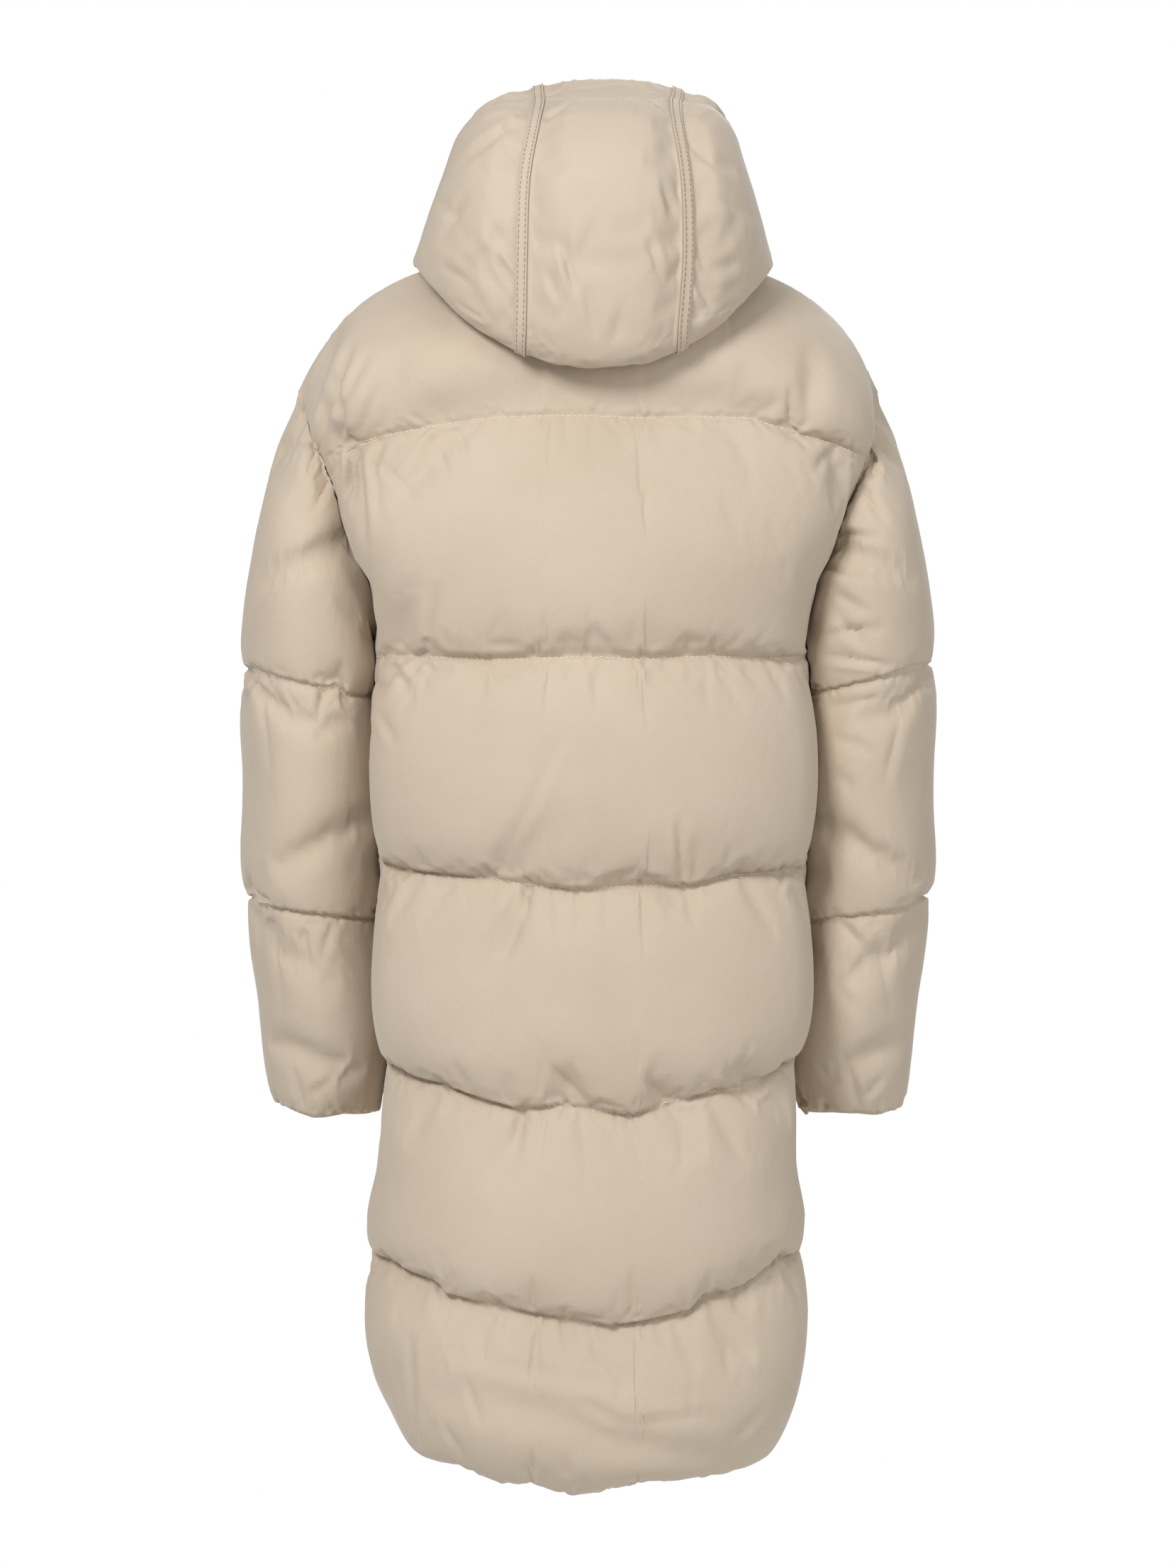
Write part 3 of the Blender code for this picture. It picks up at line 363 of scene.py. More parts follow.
# Creases in a piece's outer face, as seen from behind (side 1) or from in front (-1). lip
# raises the cloth beside the crease, on the left of its direction where it is above 0.
CREASE_COLUMNS = "side x1 z1 x2 z2 depth width lip"
CREASES = {}  # by a piece's name or its start
CREASES["back"] = table(CREASE_COLUMNS, """
    1  206  -138  203  -200 4.4 4.0  0.9
    1  222   -84  214  -140 3.6 4.0  0.8
    1  190   -70  216  -118 3.0 4.5  0.7
    1  176  -144  186  -170 3.0 4.0  0.8
    1  178  -164  150  -196 2.2 4.5  0.7
    1  112  -140  104  -160 2.6 4.0  0.8
    1  152  -362  168  -340 3.0 4.0  0.8
    1  206   -59  233  -137 4.0 5.0  0.6
    1  213  -113  217  -167 3.5 4.5  0.5
    1  198  -155  193  -236 4.0 5.0 -0.6
    1  186  -150  180  -205 2.6 5.0  0.5
    1  150  -143  176  -181 3.2 5.0  0.5
    1  132  -142  120  -176 2.2 5.0  0.5
    1  176   -92  196  -140 2.6 6.0  0.5
    1  130  -276  142  -334 3.0 5.0  0.5
    1  142  -334  163  -362 3.2 4.5  0.6
    1   20  -398   78  -518 1.6 5.5 -0.9
    1  180  -381  166  -404 2.4 4.0  0.5
    1  -77  -474  -80  -522 2.6 4.0  0.6
    1   50  -524   53  -549 3.0 4.0  0.6
    1   53  -549   72  -589 2.6 5.0  0.6
    1   31  -680    0  -713 2.8 5.0  0.6
    1  -50  -689  -66  -712 2.6 4.5  0.6
    1 -118  -680 -122  -700 2.0 4.0  0.5
    1   53  -713   62  -746 2.8 4.5  0.6
    1  108  -924  -38  -948 1.8 7.0  0.7
    1    6  -960  -33  -979 2.4 5.0  0.7
    1  -33  -979 -104  -974 2.4 5.0 -0.7
    1   -5  -918  -30  -941 2.6 4.5  0.6
    1  122  -985   98 -1022 2.6 4.0  0.7
    1  102  -948   90  -982 2.2 4.0  0.6
    1  152  -913  148 -1007 2.6 4.0 -0.6
    1  166  -935  158  -990 2.2 4.0  0.5
    1 -120  -912 -140  -930 2.2 4.5  0.6
    1 -120 -1002 -150  -975 1.8 5.0  0.6
    1 -174  -101 -174  -146 3.4 5.0 -0.6
    1 -196  -172 -212  -150 3.0 5.0  0.6
    1 -150  -128 -163  -110 1.6 5.0  0.5
""")
CREASES["front"] = table(CREASE_COLUMNS, """
    -1  192  -96  214 -150 3.4 5.0  0.6
    -1  176 -168  190 -222 3.4 5.0  0.6
    -1  120 -140  150 -176 2.4 5.0  0.5
    -1   90 -318  112 -362 2.6 4.5  0.6
    -1   34 -494   50 -540 2.4 4.5 -0.6
    -1  130 -492  112 -534 2.4 4.5  0.6
    -1   60 -664   84 -712 2.6 4.5  0.6
    -1   22 -770   90 -792 1.6 6.0  0.6
    -1  100 -838  122 -880 2.4 4.5  0.6
    -1   30 -900  120 -918 1.8 6.0  0.7
    -1 -188 -100 -212 -148 3.4 5.0 -0.6
    -1 -172 -176 -190 -226 3.2 5.0 -0.6
    -1  -76 -160 -112 -140 2.2 5.0  0.5
    -1 -100 -316 -120 -352 2.6 4.5 -0.6
    -1  -40 -380  -96 -402 1.6 6.0  0.6
    -1  -62 -492  -52 -536 2.6 4.5  0.6
    -1 -128 -640 -104 -690 2.4 5.0  0.6
    -1  -50 -676  -64 -716 2.4 4.5  0.6
    -1  -30 -860  -60 -884 2.2 4.5  0.6
    -1  -24 -952 -120 -930 1.8 6.0  0.7
""")
# A sleeve's creases are given for the left one, as seen from behind or from in front
CREASES["sleeve_left"] = table(CREASE_COLUMNS, """
     1 238 -100 226 -150 4.0 4.0  0.8
     1 226 -150 214 -176 4.4 4.0  0.8
     1 214 -140 236 -200 3.0 4.0 -0.8
     1 232 -128 246 -172 2.6 5.0  0.6
     1 286 -356 278 -430 1.6 5.0  0.6
     1 280 -350 262 -384 1.8 5.0 -0.6
     1 228 -352 236 -392 2.2 4.5  0.6
     1 250 -566 244 -604 2.2 4.5  0.6
     1 278 -556 270 -640 1.6 5.0  0.6
     1 222 -560 234 -596 2.0 4.5 -0.6
     1 262 -690 252 -728 2.2 4.5  0.6
     1 224 -700 246 -716 2.4 4.5  0.6
    -1 262 -150 240 -214 3.0 5.0  0.6
    -1 226 -222 262 -246 3.0 5.0  0.6
    -1 220 -330 252 -300 2.4 5.0  0.6
    -1 280 -400 244 -440 2.4 5.0  0.6
    -1 226 -480 262 -500 2.2 5.0  0.6
    -1 270 -600 238 -640 2.2 5.0  0.6
""")
CREASES["sleeve_right"] = table(CREASE_COLUMNS, """
     1 236 -143 252 -158 3.0 5.0  0.6
     1 204 -221 252 -227 3.8 4.5  0.8
     1 200 -251 256 -264 3.8 4.5 -0.8
     1 214 -276 240 -290 3.0 4.0  0.7
     1 206 -311 254 -306 3.2 4.5  0.8
     1 208 -330 262 -338 3.0 4.0 -0.7
     1 238 -186 256 -210 2.4 5.0  0.6
     1 216 -296 240 -322 2.6 5.0 -0.6
     1 212 -374 252 -366 2.8 5.0  0.7
     1 214 -400 250 -414 2.4 5.0  0.7
     1 212 -430 232 -444 2.2 5.0  0.6
     1 276 -372 258 -440 1.6 5.0  0.6
     1 216 -556 246 -590 2.6 5.0  0.7
     1 252 -572 268 -640 1.6 6.0  0.6
     1 214 -612 236 -640 2.2 5.0  0.6
     1 230 -690 240 -728 3.0 5.0  0.8
     1 262 -700 244 -716 2.2 4.5  0.6
    -1 260 -146 238 -206 3.0 5.0 -0.6
    -1 228 -228 264 -252 3.0 5.0  0.6
    -1 278 -396 240 -424 2.4 5.0 -0.6
    -1 224 -470 258 -506 2.2 5.0  0.6
    -1 262 -610 230 -630 2.2 5.0  0.6
""")
CREASES["hood"] = table(CREASE_COLUMNS, """
     1   62 126  112  92 3.4 4.5  0.7
     1   68  12   54 -12 4.4 3.6  0.9
     1   76   2   58 -24 3.6 3.6  0.9
     1   62  34   54  12 3.0 3.6 -0.8
     1   64 -34   50 -60 3.0 3.6  0.8
     1   56  84   70 106 2.6 4.0  0.7
     1   84  34   70  10 2.4 4.5  0.6
     1   22  12   10 -27 3.8 3.8  0.9
     1   34 -10   26 -34 2.4 3.6  0.7
     1    2 -24   -6 -62 2.2 4.5  0.7
     1  -86  16 -100  -2 4.2 3.6  0.9
     1  -86  -8 -104 -34 4.4 3.6  0.9
     1  -80 -30  -96 -48 3.0 3.6  0.8
     1  -72  40  -64  62 2.6 3.8 -0.8
     1  -62 -14  -52  12 2.4 3.8  0.7
     1  -76  64  -90  40 2.4 4.5  0.6
     1  -84 108 -112  84 2.6 4.5  0.6
     1  104  60  128  24 2.4 5.0  0.6
     1  132  66  112  40 1.8 5.0  0.6
     1   70  24  120 -18 1.6 7.0  0.7
     1   96 -22  124   2 2.2 5.0  0.6
     1   66 -40   92 -66 2.0 5.0  0.6
     1   14 146   50 122 3.0 4.0  0.7
     1   20 150   62 134 2.2 5.0  0.6
     1  -10  34    8  -2 1.4 6.0  0.7
     1   16 -30   30 -58 1.4 6.0  0.6
     1  -30 -40  -22 -70 1.4 6.0  0.6
     1  -64 -22  -82  -2 1.8 5.0  0.6
     1  -70  14  -92   8 1.8 5.0  0.6
     1 -110  60 -138  46 1.8 6.0  0.6
     1 -100 100 -126  86 1.8 6.0  0.6
     1  -96 -10 -130   4 1.8 6.0  0.7
     1  -84 -48 -112 -30 2.0 5.0  0.6
    -1   96  84  118  40 2.2 6.0  0.6
    -1   70  10  112  -4 2.2 6.0  0.6
    -1  -98  90 -124  44 2.2 6.0  0.6
    -1  -60  -6 -104 -12 2.2 6.0  0.6
""")

# Size and height of the soft crumples
CRUMPLES = {"hood": (17.0, 1.0), "sleeve": (15.0, 0.6), "back": (15.0, 0.3), "front": (15.0, 0.3)}

# Puckers along the quilt lines, made in numbers: spacing, reach from the line, depth, width
Pucker = namedtuple("Pucker", "spacing reach depth width")
BODY_PUCKER = Pucker((6, 22), (5, 16), (0.9, 3.0), (2.0, 3.4))
SLEEVE_PUCKER = Pucker((8, 22), (5, 18), (0.9, 2.6), (2.2, 3.6))
CUFF_PUCKER = Pucker((12, 28), (14, 44), (2.0, 5.0), (3.0, 5.6))
HEM_PUCKER = Pucker((26, 70), (10, 26), (0.6, 1.8), (3.4, 6.0))
HOOD_PUCKER = Pucker((7, 20), (6, 18), (0.8, 2.8), (2.0, 3.4))
ARMHOLE_PUCKER = Pucker((12, 34), (8, 26), (0.3, 1.0), (2.2, 3.6))

# Columns and rows, as in the CAD model
BACK_TURNS = (0.0, 13.0, SEAM_ANGLE - STRIP_ANGLE, SEAM_ANGLE, SEAM_ANGLE + STRIP_ANGLE,
              50.0, 66.0, SIDE_NECK_ANGLE)
FRONT_TURNS = (180.0, 172.0, 154.0, 136.0, 118.0, 100.0, SIDE_NECK_ANGLE)
SHOULDER_CELLS = 6 * ACROSS
YOKE_ROWS = (0.0, 0.14, 0.36, 0.62, 0.86)
CHEST_ROWS = (0.0, 0.10, 0.25, 0.42, 0.60, 0.75, 0.88)
BAFFLE_ROWS = (0.0, 0.12, 0.35, 0.65, 0.88)
CAP_ROWS = (0.0, 0.10, 0.28, 0.50, 0.72, 0.90)
HOOD_ROWS = (0, 0.5, 1, 1.5, 2, 3, 3.6, 4, 4.4, 5, 6, 7, 8, 8.6, 9.3, 10, 10.5, 11)
UNDERARM_ROW = (len(YOKE_ROWS) + len(CHEST_ROWS) - 1) * DOWN

# Where a grid's edges are, and the points beside them
EDGES = {"top": np.s_[0], "bottom": np.s_[-1], "first": np.s_[:, 0], "last": np.s_[:, -1]}
BESIDE = {"top": np.s_[1], "bottom": np.s_[-2], "first": np.s_[:, 1], "last": np.s_[:, -2]}

SHARP_ANGLE = 60  # between two faces, above which their edge shows
ROLL_TURNS = (0.25 * math.pi, 0.5 * math.pi, 0.75 * math.pi)  # a wall's edge rows

# Each piece's edges that meet another piece. The others are free.
SEAMS = {
    "back": ("top", "first", "last"),
    "front_left": ("top", "last"),
    "front_right": ("top", "first"),
    "sleeve_left": ("top",),
    "sleeve_right": ("top",),
    "hood_side_right": ("top", "last"),
    "hood_centre": ("top", "first", "last"),
    "hood_side_left": ("top", "first"),
}
SEAM_COLUMNS = {"hood_side_right": (-1,), "hood_centre": (0, -1), "hood_side_left": (0,)}
SIDE_COLUMNS = {"back": (0, -1), "front_left": (-1,), "front_right": (0,)}
HANDS = (("left", 1), ("right", -1))


def refined(values, parts):
    """values with each step between them cut into parts."""
    values = np.asarray(values, float)
    steps = np.arange(parts) / parts
    between = values[:-1, None] + np.diff(values)[:, None] * steps
    return np.append(between.ravel(), values[-1])


def row_stations(*baffles):
    """The rows' stations, from the shares of each baffle at which the CAD model has a row."""
    rows = [line + share for line, shares in enumerate(baffles) for share in shares]
    return refined(rows + [float(len(baffles))], DOWN)


BODY_ROWS = row_stations(YOKE_ROWS, CHEST_ROWS, *[BAFFLE_ROWS] * 4)
ARM_ROWS = row_stations(CAP_ROWS, BAFFLE_ROWS, BAFFLE_ROWS)
BACK_ANGLES = refined(BACK_TURNS, ACROSS)
FRONT_ANGLES = refined(FRONT_TURNS, ACROSS)
BACK_NECK = len(BACK_ANGLES) - 1
FRONT_NECK = len(FRONT_ANGLES) - 1
HOOD_MIDDLE = BACK_NECK + FRONT_NECK
HOOD_SEAM = BACK_TURNS.index(SEAM_ANGLE) * ACROSS


# ---------------------------------------------------------------- the CAD model's surfaces


def spline(stations, values, at):
    """Reads a smooth curve through values, which may be arrays, at each place in at."""
    stations, values, at = (np.asarray(item, float) for item in (stations, values, at))
    steps = np.diff(stations)
    trailing = (1,) * (values.ndim - 1)
    chords = np.diff(values, axis=0) / steps.reshape(-1, *trailing)
    share = (steps[1:] / (steps[:-1] + steps[1:])).reshape(-1, *trailing)
    slopes = np.concatenate(
        [chords[:1], chords[:-1] * share + chords[1:] * (1 - share), chords[-1:]]
    )
    left = np.clip(np.searchsorted(stations, at, "right") - 1, 0, len(steps) - 1)
    step = steps[left].reshape(-1, *trailing)
    u = ((at - stations[left]) / steps[left]).reshape(-1, *trailing)
    return (
        values[left] * (1 + 2 * u) * (1 - u) ** 2
        + values[left + 1] * u * u * (3 - 2 * u)
        + slopes[left] * step * u * (1 - u) ** 2
        - slopes[left + 1] * step * u * u * (1 - u)
    )


def unit(vectors):
    return vectors / np.maximum(np.linalg.norm(vectors, axis=-1, keepdims=True), 1e-9)


def smoothstep(low, high, values):
    u = np.clip((values - low) / (high - low), 0, 1)
    return u * u * (3 - 2 * u)


def hump(values, middle, reach):
    """1 at middle, and falling to 0 on both sides of it."""
    return np.exp(-(((values - middle) / reach) ** 2))


def neck_ring(ring, angles):
    """Points of one hood ring at angles from the nape, positive to the wearer's left."""
    turn = np.radians(angles)
    forward = np.cos(turn)
    across = np.sign(turn) * np.abs(np.sin(turn)) ** (2 / HOOD_SQUARE)
    open_front = ZIP_HALF * np.sign(turn) * (1 - forward) / 2
    middle_y = (ring.back_y + ring.front_y) / 2
    half_y = (ring.back_y - ring.front_y) / 2
    swing = (ring.back_z - ring.front_z) / 2
    bow = (ring.back_z + ring.front_z) / 2 - ring.side_z
    return np.stack(
        [
            ring.half * across + open_front + ring.lean * (1 + forward) / 2,
            middle_y + half_y * np.sign(forward) * np.abs(forward) ** (2 / HOOD_SQUARE),
            ring.side_z + swing * forward + bow * forward**2,
        ],
        axis=-1,
    )


def seam_turned(ring, angles):
    """angles, with the columns of the two hood seams moved to where they cross the ring."""
    places, moved = [-180, -SIDE_NECK_ANGLE], [-180, -SIDE_NECK_ANGLE]
    for side, turn in ((-1, ring.seam_right), (1, ring.seam_left)):
        for edge in (-STRIP_ANGLE, STRIP_ANGLE):
            places.append(side * SEAM_ANGLE + edge)
            moved.append(side * turn + edge)
    return np.interp(angles, places + [SIDE_NECK_ANGLE, 180], moved + [SIDE_NECK_ANGLE, 180])


def quarter(half, depth, square, shares):
    """(across, out) at shares of the length of a quarter superellipse, from its middle."""
    turn = np.linspace(0, math.pi / 2, QUARTER_POINTS)
    across = half * np.sin(turn) ** (2 / square)
    out = depth * np.cos(turn) ** (2 / square)
    run = np.concatenate([[0], np.cumsum(np.hypot(np.diff(across), np.diff(out)))])
    return np.interp(shares, run / run[-1], across), np.interp(shares, run / run[-1], out)


def panel_shares(angles, nape):
    """Where each column lies between a panel's middle (0) and its side edge (1)."""
    neck = NECK_SHARE * np.abs(angles - nape) / abs(SIDE_NECK_ANGLE - nape)
    cells = np.arange(1, SHOULDER_CELLS + 1) / SHOULDER_CELLS
    return np.concatenate([neck, NECK_SHARE + (1 - NECK_SHARE) * cells])


def top_edge(shares, nape, hand):
    """The neckline and then the shoulder seam, for one half (hand is 1 left, -1 right)."""
    angle = nape + (SIDE_NECK_ANGLE - nape) * np.minimum(shares / NECK_SHARE, 1)
    neck = neck_ring(HOOD[0], hand * angle)
    u = np.clip((shares - NECK_SHARE) / (1 - NECK_SHARE), 0, 1)[:, None]
    mirror = np.array([hand, 1, 1])
    start = neck_ring(HOOD[0], np.array([hand * SIDE_NECK_ANGLE]))
    pull, tip = np.array(SHOULDER_PULL) * mirror, np.array(SHOULDER_TIP) * mirror
    seam = start * (1 - u) ** 2 + 2 * pull * u * (1 - u) + tip * u**2
    return np.where(shares[:, None] > NECK_SHARE, seam, neck)


def half_panel(shares, nape, hand, rows):
    """Seam surface of one half of the back (nape 0) or of a front (nape 180)."""
    front = nape > 90
    keys = [top_edge(shares, nape, hand)]
    for row in TORSO:
        edge_y = row.front_edge_y if front else row.back_edge_y
        middle_y = row.front_y if front else row.back_y
        middle_z = row.front_z if front else row.back_z
        across, out = quarter(row.half, middle_y - edge_y, row.square, shares)
        if front:
            across = ZIP_HALF + across * (row.half - ZIP_HALF) / row.half
        lean = row.lean * (shares if front else 1)
        drop = (row.edge_z - middle_z) * shares**2
        keys.append(np.stack([hand * across + lean, edge_y + out, middle_z + drop], axis=-1))
    return spline([0] + [row.station for row in TORSO], keys, rows)


def outward_normals(grid, hand=1):
    return hand * unit(np.cross(np.gradient(grid, axis=0), np.gradient(grid, axis=1)))


def ring_normals(grid, hand):
    """Normals of a tube whose last column joins its first."""
    closed = np.concatenate([grid[:, -2:], grid, grid[:, :2]], axis=1)
    return outward_normals(closed, hand)[:, 2:-2]


def join_normals(*pieces):
    """Gives the pieces that meet in a seam one shared direction through their walls."""
    shared = unit(sum(normals[rows, columns] for normals, rows, columns in pieces))
    for normals, rows, columns in pieces:
        normals[rows, columns] = shared


def baffle(stations):
    """0 on each quilt line and 1 a little below the middle between two."""
    return np.abs(np.sin(math.pi * (stations % 1) ** BAFFLE_LOW)) ** BAFFLE_ROUND


def sagging(stations, last):
    """How far, of SAG, each row hangs down: most just above a quilt line, and 0 on it."""
    share = stations % 1
    start, end = (last - before for before in LAST_SAG)
    return SAG * share**2 * (1 - share**SAG_BACK) * (1 - smoothstep(start, end, stations))


def lengths(grid, axis):
    """Distance along each row (axis 1) or column (axis 0), from its first point."""
    steps = np.linalg.norm(np.diff(grid, axis=axis), axis=2)
    return np.concatenate([np.zeros_like(np.take(steps, [0], axis)), np.cumsum(steps, axis)], axis)


def edge_distance(grid, first, last):
    """Distance along each row from its first or last column, as asked, or from neither."""
    run = lengths(grid, 1)
    away = np.full(run.shape, np.inf)
    if first:
        away = np.minimum(away, run)
    if last:
        away = np.minimum(away, run[:, -1:] - run)
    return away


def side_distance(name, grid):
    """Distance of a torso panel's points from its side seams, along the rows."""
    return edge_distance(grid, name != "front_left", name != "front_right")


def to_segment(points, start, end):
    """(share along it, signed distance) of points seen in the XZ plane, from a segment."""
    run = np.asarray(end, float) - np.asarray(start, float)
    seen = points[..., [0, 2]] - np.asarray(start, float)
    share = np.clip((seen @ run) / (run @ run), 0, 1)
    off = seen - share[..., None] * run
    left = np.sign(run[0] * off[..., 1] - run[1] * off[..., 0])
    return share, np.linalg.norm(off, axis=-1) * np.where(left == 0, 1, left)


def fold_depth(points, normals, folds, hand=1):
    """How far the CAD model's folds sink each point."""
    depth = np.zeros(points.shape[:-1])
    for fold in folds:
        share, away = to_segment(points, (hand * fold.x1, fold.z1), (hand * fold.x2, fold.z2))
        taper = FOLD_ENDS + (1 - FOLD_ENDS) * np.sin(math.pi * share)
        facing = smoothstep(*FOLD_FACING, fold.side * normals[..., 1])
        depth += fold.depth * np.exp(-((away / fold.width) ** 2)) * taper * facing
    return depth


def neck_press(points):
    """Near 0 beside the neck seam, rising to 1, and more slowly where the hood lies."""
    ring = neck_ring(HOOD[0], np.linspace(-180, 180, NECK_POINTS))
    away = np.full(points.shape[:2], np.inf)
    for place in ring:
        away = np.minimum(away, np.linalg.norm(points - place, axis=-1))
    under_hood = smoothstep(*NAPE_SIDE, points[..., 1])
    clear = smoothstep(*COLLAR_FLAT, away)
    return clear * (1 - NAPE_PRESS * under_hood * (1 - smoothstep(*NAPE_FLAT, away)))


def torso_lift(name, grid, normals, rows):
    """How far the outer face of a torso panel stands off its seam surface."""
    away = side_distance(name, grid)
    below_arm = smoothstep(*BELOW_ARM, rows)[:, None]
    rise = ARMHOLE_RISE + (EDGE_RISE - ARMHOLE_RISE) * below_arm
    power, less = SIDE_ROUND
    side = np.sin(math.pi / 2 * np.clip(away / rise, 0, 1)) ** (power - less * below_arm)
    flat = smoothstep(*FULL_LINES, rows) * (1 - FREE_SIDE * smoothstep(*FREE_LINES, rows))
    side = side * (1 - SIDE_PRESS * flat[:, None] * (1 - smoothstep(*SIDE_FLAT, away)))
    puff = BODY_PUFF * baffle(rows)[:, None] * side * neck_press(grid)
    yoke = 1 - smoothstep(*YOKE_ENDS, np.abs(grid[..., 0]))
    puff = puff * (1 - YOKE_FLAT * hump(rows, 1, YOKE_REACH)[:, None] * yoke)
    sunk = np.minimum(fold_depth(grid, normals, BODY_FOLDS), BODY_FOLDED * puff)
    return SEWN_LIFT + puff - sunk


def pressed(grid, normals, lift, torso):
    """Moves a piece's seam surface so that its outer face clears the torso's outer face."""
    grid = grid.copy()
    for _ in range(PRESS_ROUNDS):
        for row in range(1, len(grid)):
            clear = PRESS_CLEAR * min(1, row / PRESS_ROWS)
            for column in range(grid.shape[1]):
                outer = grid[row, column] + normals[row, column] * lift[row, column]
                near, direction, _, away = torso.find_nearest(outer)
                if away < PRESS_REACH:
                    direction = np.array(direction)
                    grid[row, column] += direction * max(0, clear - (outer - near) @ direction)
    return grid


def sleeve_grid(loop, hand, rows):
    """Seam surface of a sleeve: rings from the armhole down, columns round the arm."""
    steps = np.linalg.norm(np.diff(loop, axis=0, append=loop[:1]), axis=1)
    run = np.concatenate([[0], np.cumsum(steps)[:-1]])
    underarm = run[UNDERARM_ROW]
    turn = np.where(
        run <= underarm,
        math.pi * run / underarm,
        math.pi * (1 + (run - underarm) / (steps.sum() - underarm)),
    )
    keys = [loop]
    for ring in SLEEVE:
        x = ring.x + ring.rx * np.cos(turn)
        y = ring.y + ring.ry * np.sin(turn)
        z = ring.z + ring.tilt * np.cos(turn) - ring.sag * ((1 - np.cos(turn)) / 2) ** 3
        keys.append(np.stack([hand * x, y, z], axis=-1))
    return spline([0] + [ring.station for ring in SLEEVE], keys, rows), turn


def sleeve_lift(grid, normals, rows, turn, hand):
    """The sleeve's padding, pressed thin against the body and drawn tighter outside."""
    inside, outside = SLEEVE_THIN
    full = 1 - inside * np.clip(-np.cos(turn), 0, 1) - outside * np.clip(np.cos(turn), 0, 1)
    puff = SLEEVE_PUFF * baffle(rows)[:, None] * full
    behind = hump(np.minimum(turn, 2 * math.pi - turn), *BULGE_AT)
    puff = puff + SLEEVE_BULGE * behind * hump(rows, *BULGE_DOWN)[:, None]
    folds = fold_depth(grid, normals, SLEEVE_FOLDS, hand)
    return SEWN_LIFT + puff - np.minimum(folds, SLEEVE_FOLDED * puff)


def hood_lift(angles, rows):
    """The hood's light padding, sewn down at the seams under the strips and at its edges."""
    puff = np.interp(rows, *HOOD_PUFF)
    seam = np.abs(np.abs(angles) - SEAM_ANGLE)
    off_seam = smoothstep(STRIP_ANGLE, HOOD_SEWN, seam)
    reach, left = HOOD_EDGE
    off_zip = smoothstep(0, reach, 180 - np.abs(angles))
    return SEWN_LIFT + puff[:, None] * off_seam * (left + (1 - left) * off_zip)


def back_column(hand, steps):
    """The back's column that lies steps from its middle, towards the left (hand 1)."""
    return BACK_NECK + SHOULDER_CELLS - hand * steps


def front_column(hand, steps):
    """A front's column that lies steps from its zip edge."""
    return steps if hand > 0 else FRONT_NECK + SHOULDER_CELLS - steps


def join_all(normals, sleeves, hood_normals):
    """Shares the directions through the walls at every seam, and last where seams meet."""
    down = np.arange(UNDERARM_ROW + 1)
    over = BACK_NECK + np.arange(SHOULDER_CELLS + 1)
    neck = np.arange(FRONT_NECK + 1)
    around = np.arange(-BACK_NECK, BACK_NECK + 1)
    below = np.s_[UNDERARM_ROW:]
    back = normals["back"]
    corners = []
    for side, hand in HANDS:
        front, sleeve = normals["front_" + side], sleeves[side]
        back_edge, front_edge = (0, -1) if hand > 0 else (-1, 0)
        join_normals((back, below, back_edge), (front, below, front_edge))
        in_front = front_column(hand, over - BACK_NECK + FRONT_NECK)
        join_normals((back, 0, back_column(hand, over)), (front, 0, in_front))
        join_normals((back, down, back_edge), (sleeve, 0, down))
        join_normals((front, down, front_edge), (sleeve, 0, -down))
        in_hood = HOOD_MIDDLE + hand * (HOOD_MIDDLE - neck)
        join_normals((front, 0, front_column(hand, neck)), (hood_normals, 0, in_hood))
        corners.append((
            (back, 0, back_column(hand, BACK_NECK)),
            (front, 0, front_column(hand, FRONT_NECK)),
            (hood_normals, 0, HOOD_MIDDLE + hand * BACK_NECK),
        ))
        for row in (0, UNDERARM_ROW):
            corners.append(((back, row, back_edge), (front, row, front_edge), (sleeve, 0, row)))
    join_normals((back, 0, back_column(1, around)), (hood_normals, 0, HOOD_MIDDLE + around))
    for corner in corners:
        join_normals(*corner)


# ---------------------------------------------------------------- the pieces


class Piece:
    """One cloth piece: its seam surface, the directions through it, and its outer face."""

    def __init__(self, name, grid, normals, rows, lift, sewn, ring=False):
        self.name = name
        self.kind = name.split("_")[0]
        self.grid = grid
        self.normals = normals
        self.rows = rows
        self.sewn = sewn
        self.ring = ring
        self.outer = grid + normals * lift[..., None]
        if self.kind != "hood":
            full = np.clip((lift - SEWN_LIFT) / SLEEVE_PUFF, 0, 1)
            self.outer[..., 2] -= sagging(rows, rows[-1])[:, None] * full

    def finer(self, parts):
        """Cuts the steps between rows and between columns into parts, along smooth curves."""
        surfaces = (self.grid, self.normals, self.outer)
        self.grid, normals, self.outer = (subdivided(item, self.ring, parts) for item in surfaces)
        self.normals = unit(normals)
        self.rows = refined(self.rows, parts[0])

    def row(self, station):
        return int(np.argmin(np.abs(self.rows - station)))

    def stitched(self):
        """The stations of the piece's lines of stitches."""
        return (BRIM_STITCH,) if self.kind == "hood" else range(1, int(self.rows[-1]))

    def runs(self):
        """The distances of the outer face's points along its rows, and down its columns."""
        return lengths(self.outer, 1), lengths(self.outer, 0)


def subdivided(grid, ring, parts):
    """grid with parts steps for each one between its rows and between its columns."""
    if ring:
        grid = np.concatenate([grid[:, -2:], grid, grid[:, :3]], axis=1)
    for axis, count in enumerate(parts):
        swapped = np.swapaxes(grid, 0, axis)
        places = np.arange(len(swapped))
        grid = np.swapaxes(spline(places, swapped, refined(places, count)), 0, axis)
    return grid[:, 2 * parts[1] : -2 * parts[1] - 1] if ring else grid


def stray_rise(name, grid, rows):
    """How far STRAYS moves each point of a torso piece up, beside its quilt lines."""
    rise = np.zeros(grid.shape[:2])
    for (piece, line), places in STRAYS.items():
        if piece == name:
            rise += hump(rows, line, STRAY_REACH)[:, None] * np.interp(grid[..., 0], *places)
    return rise


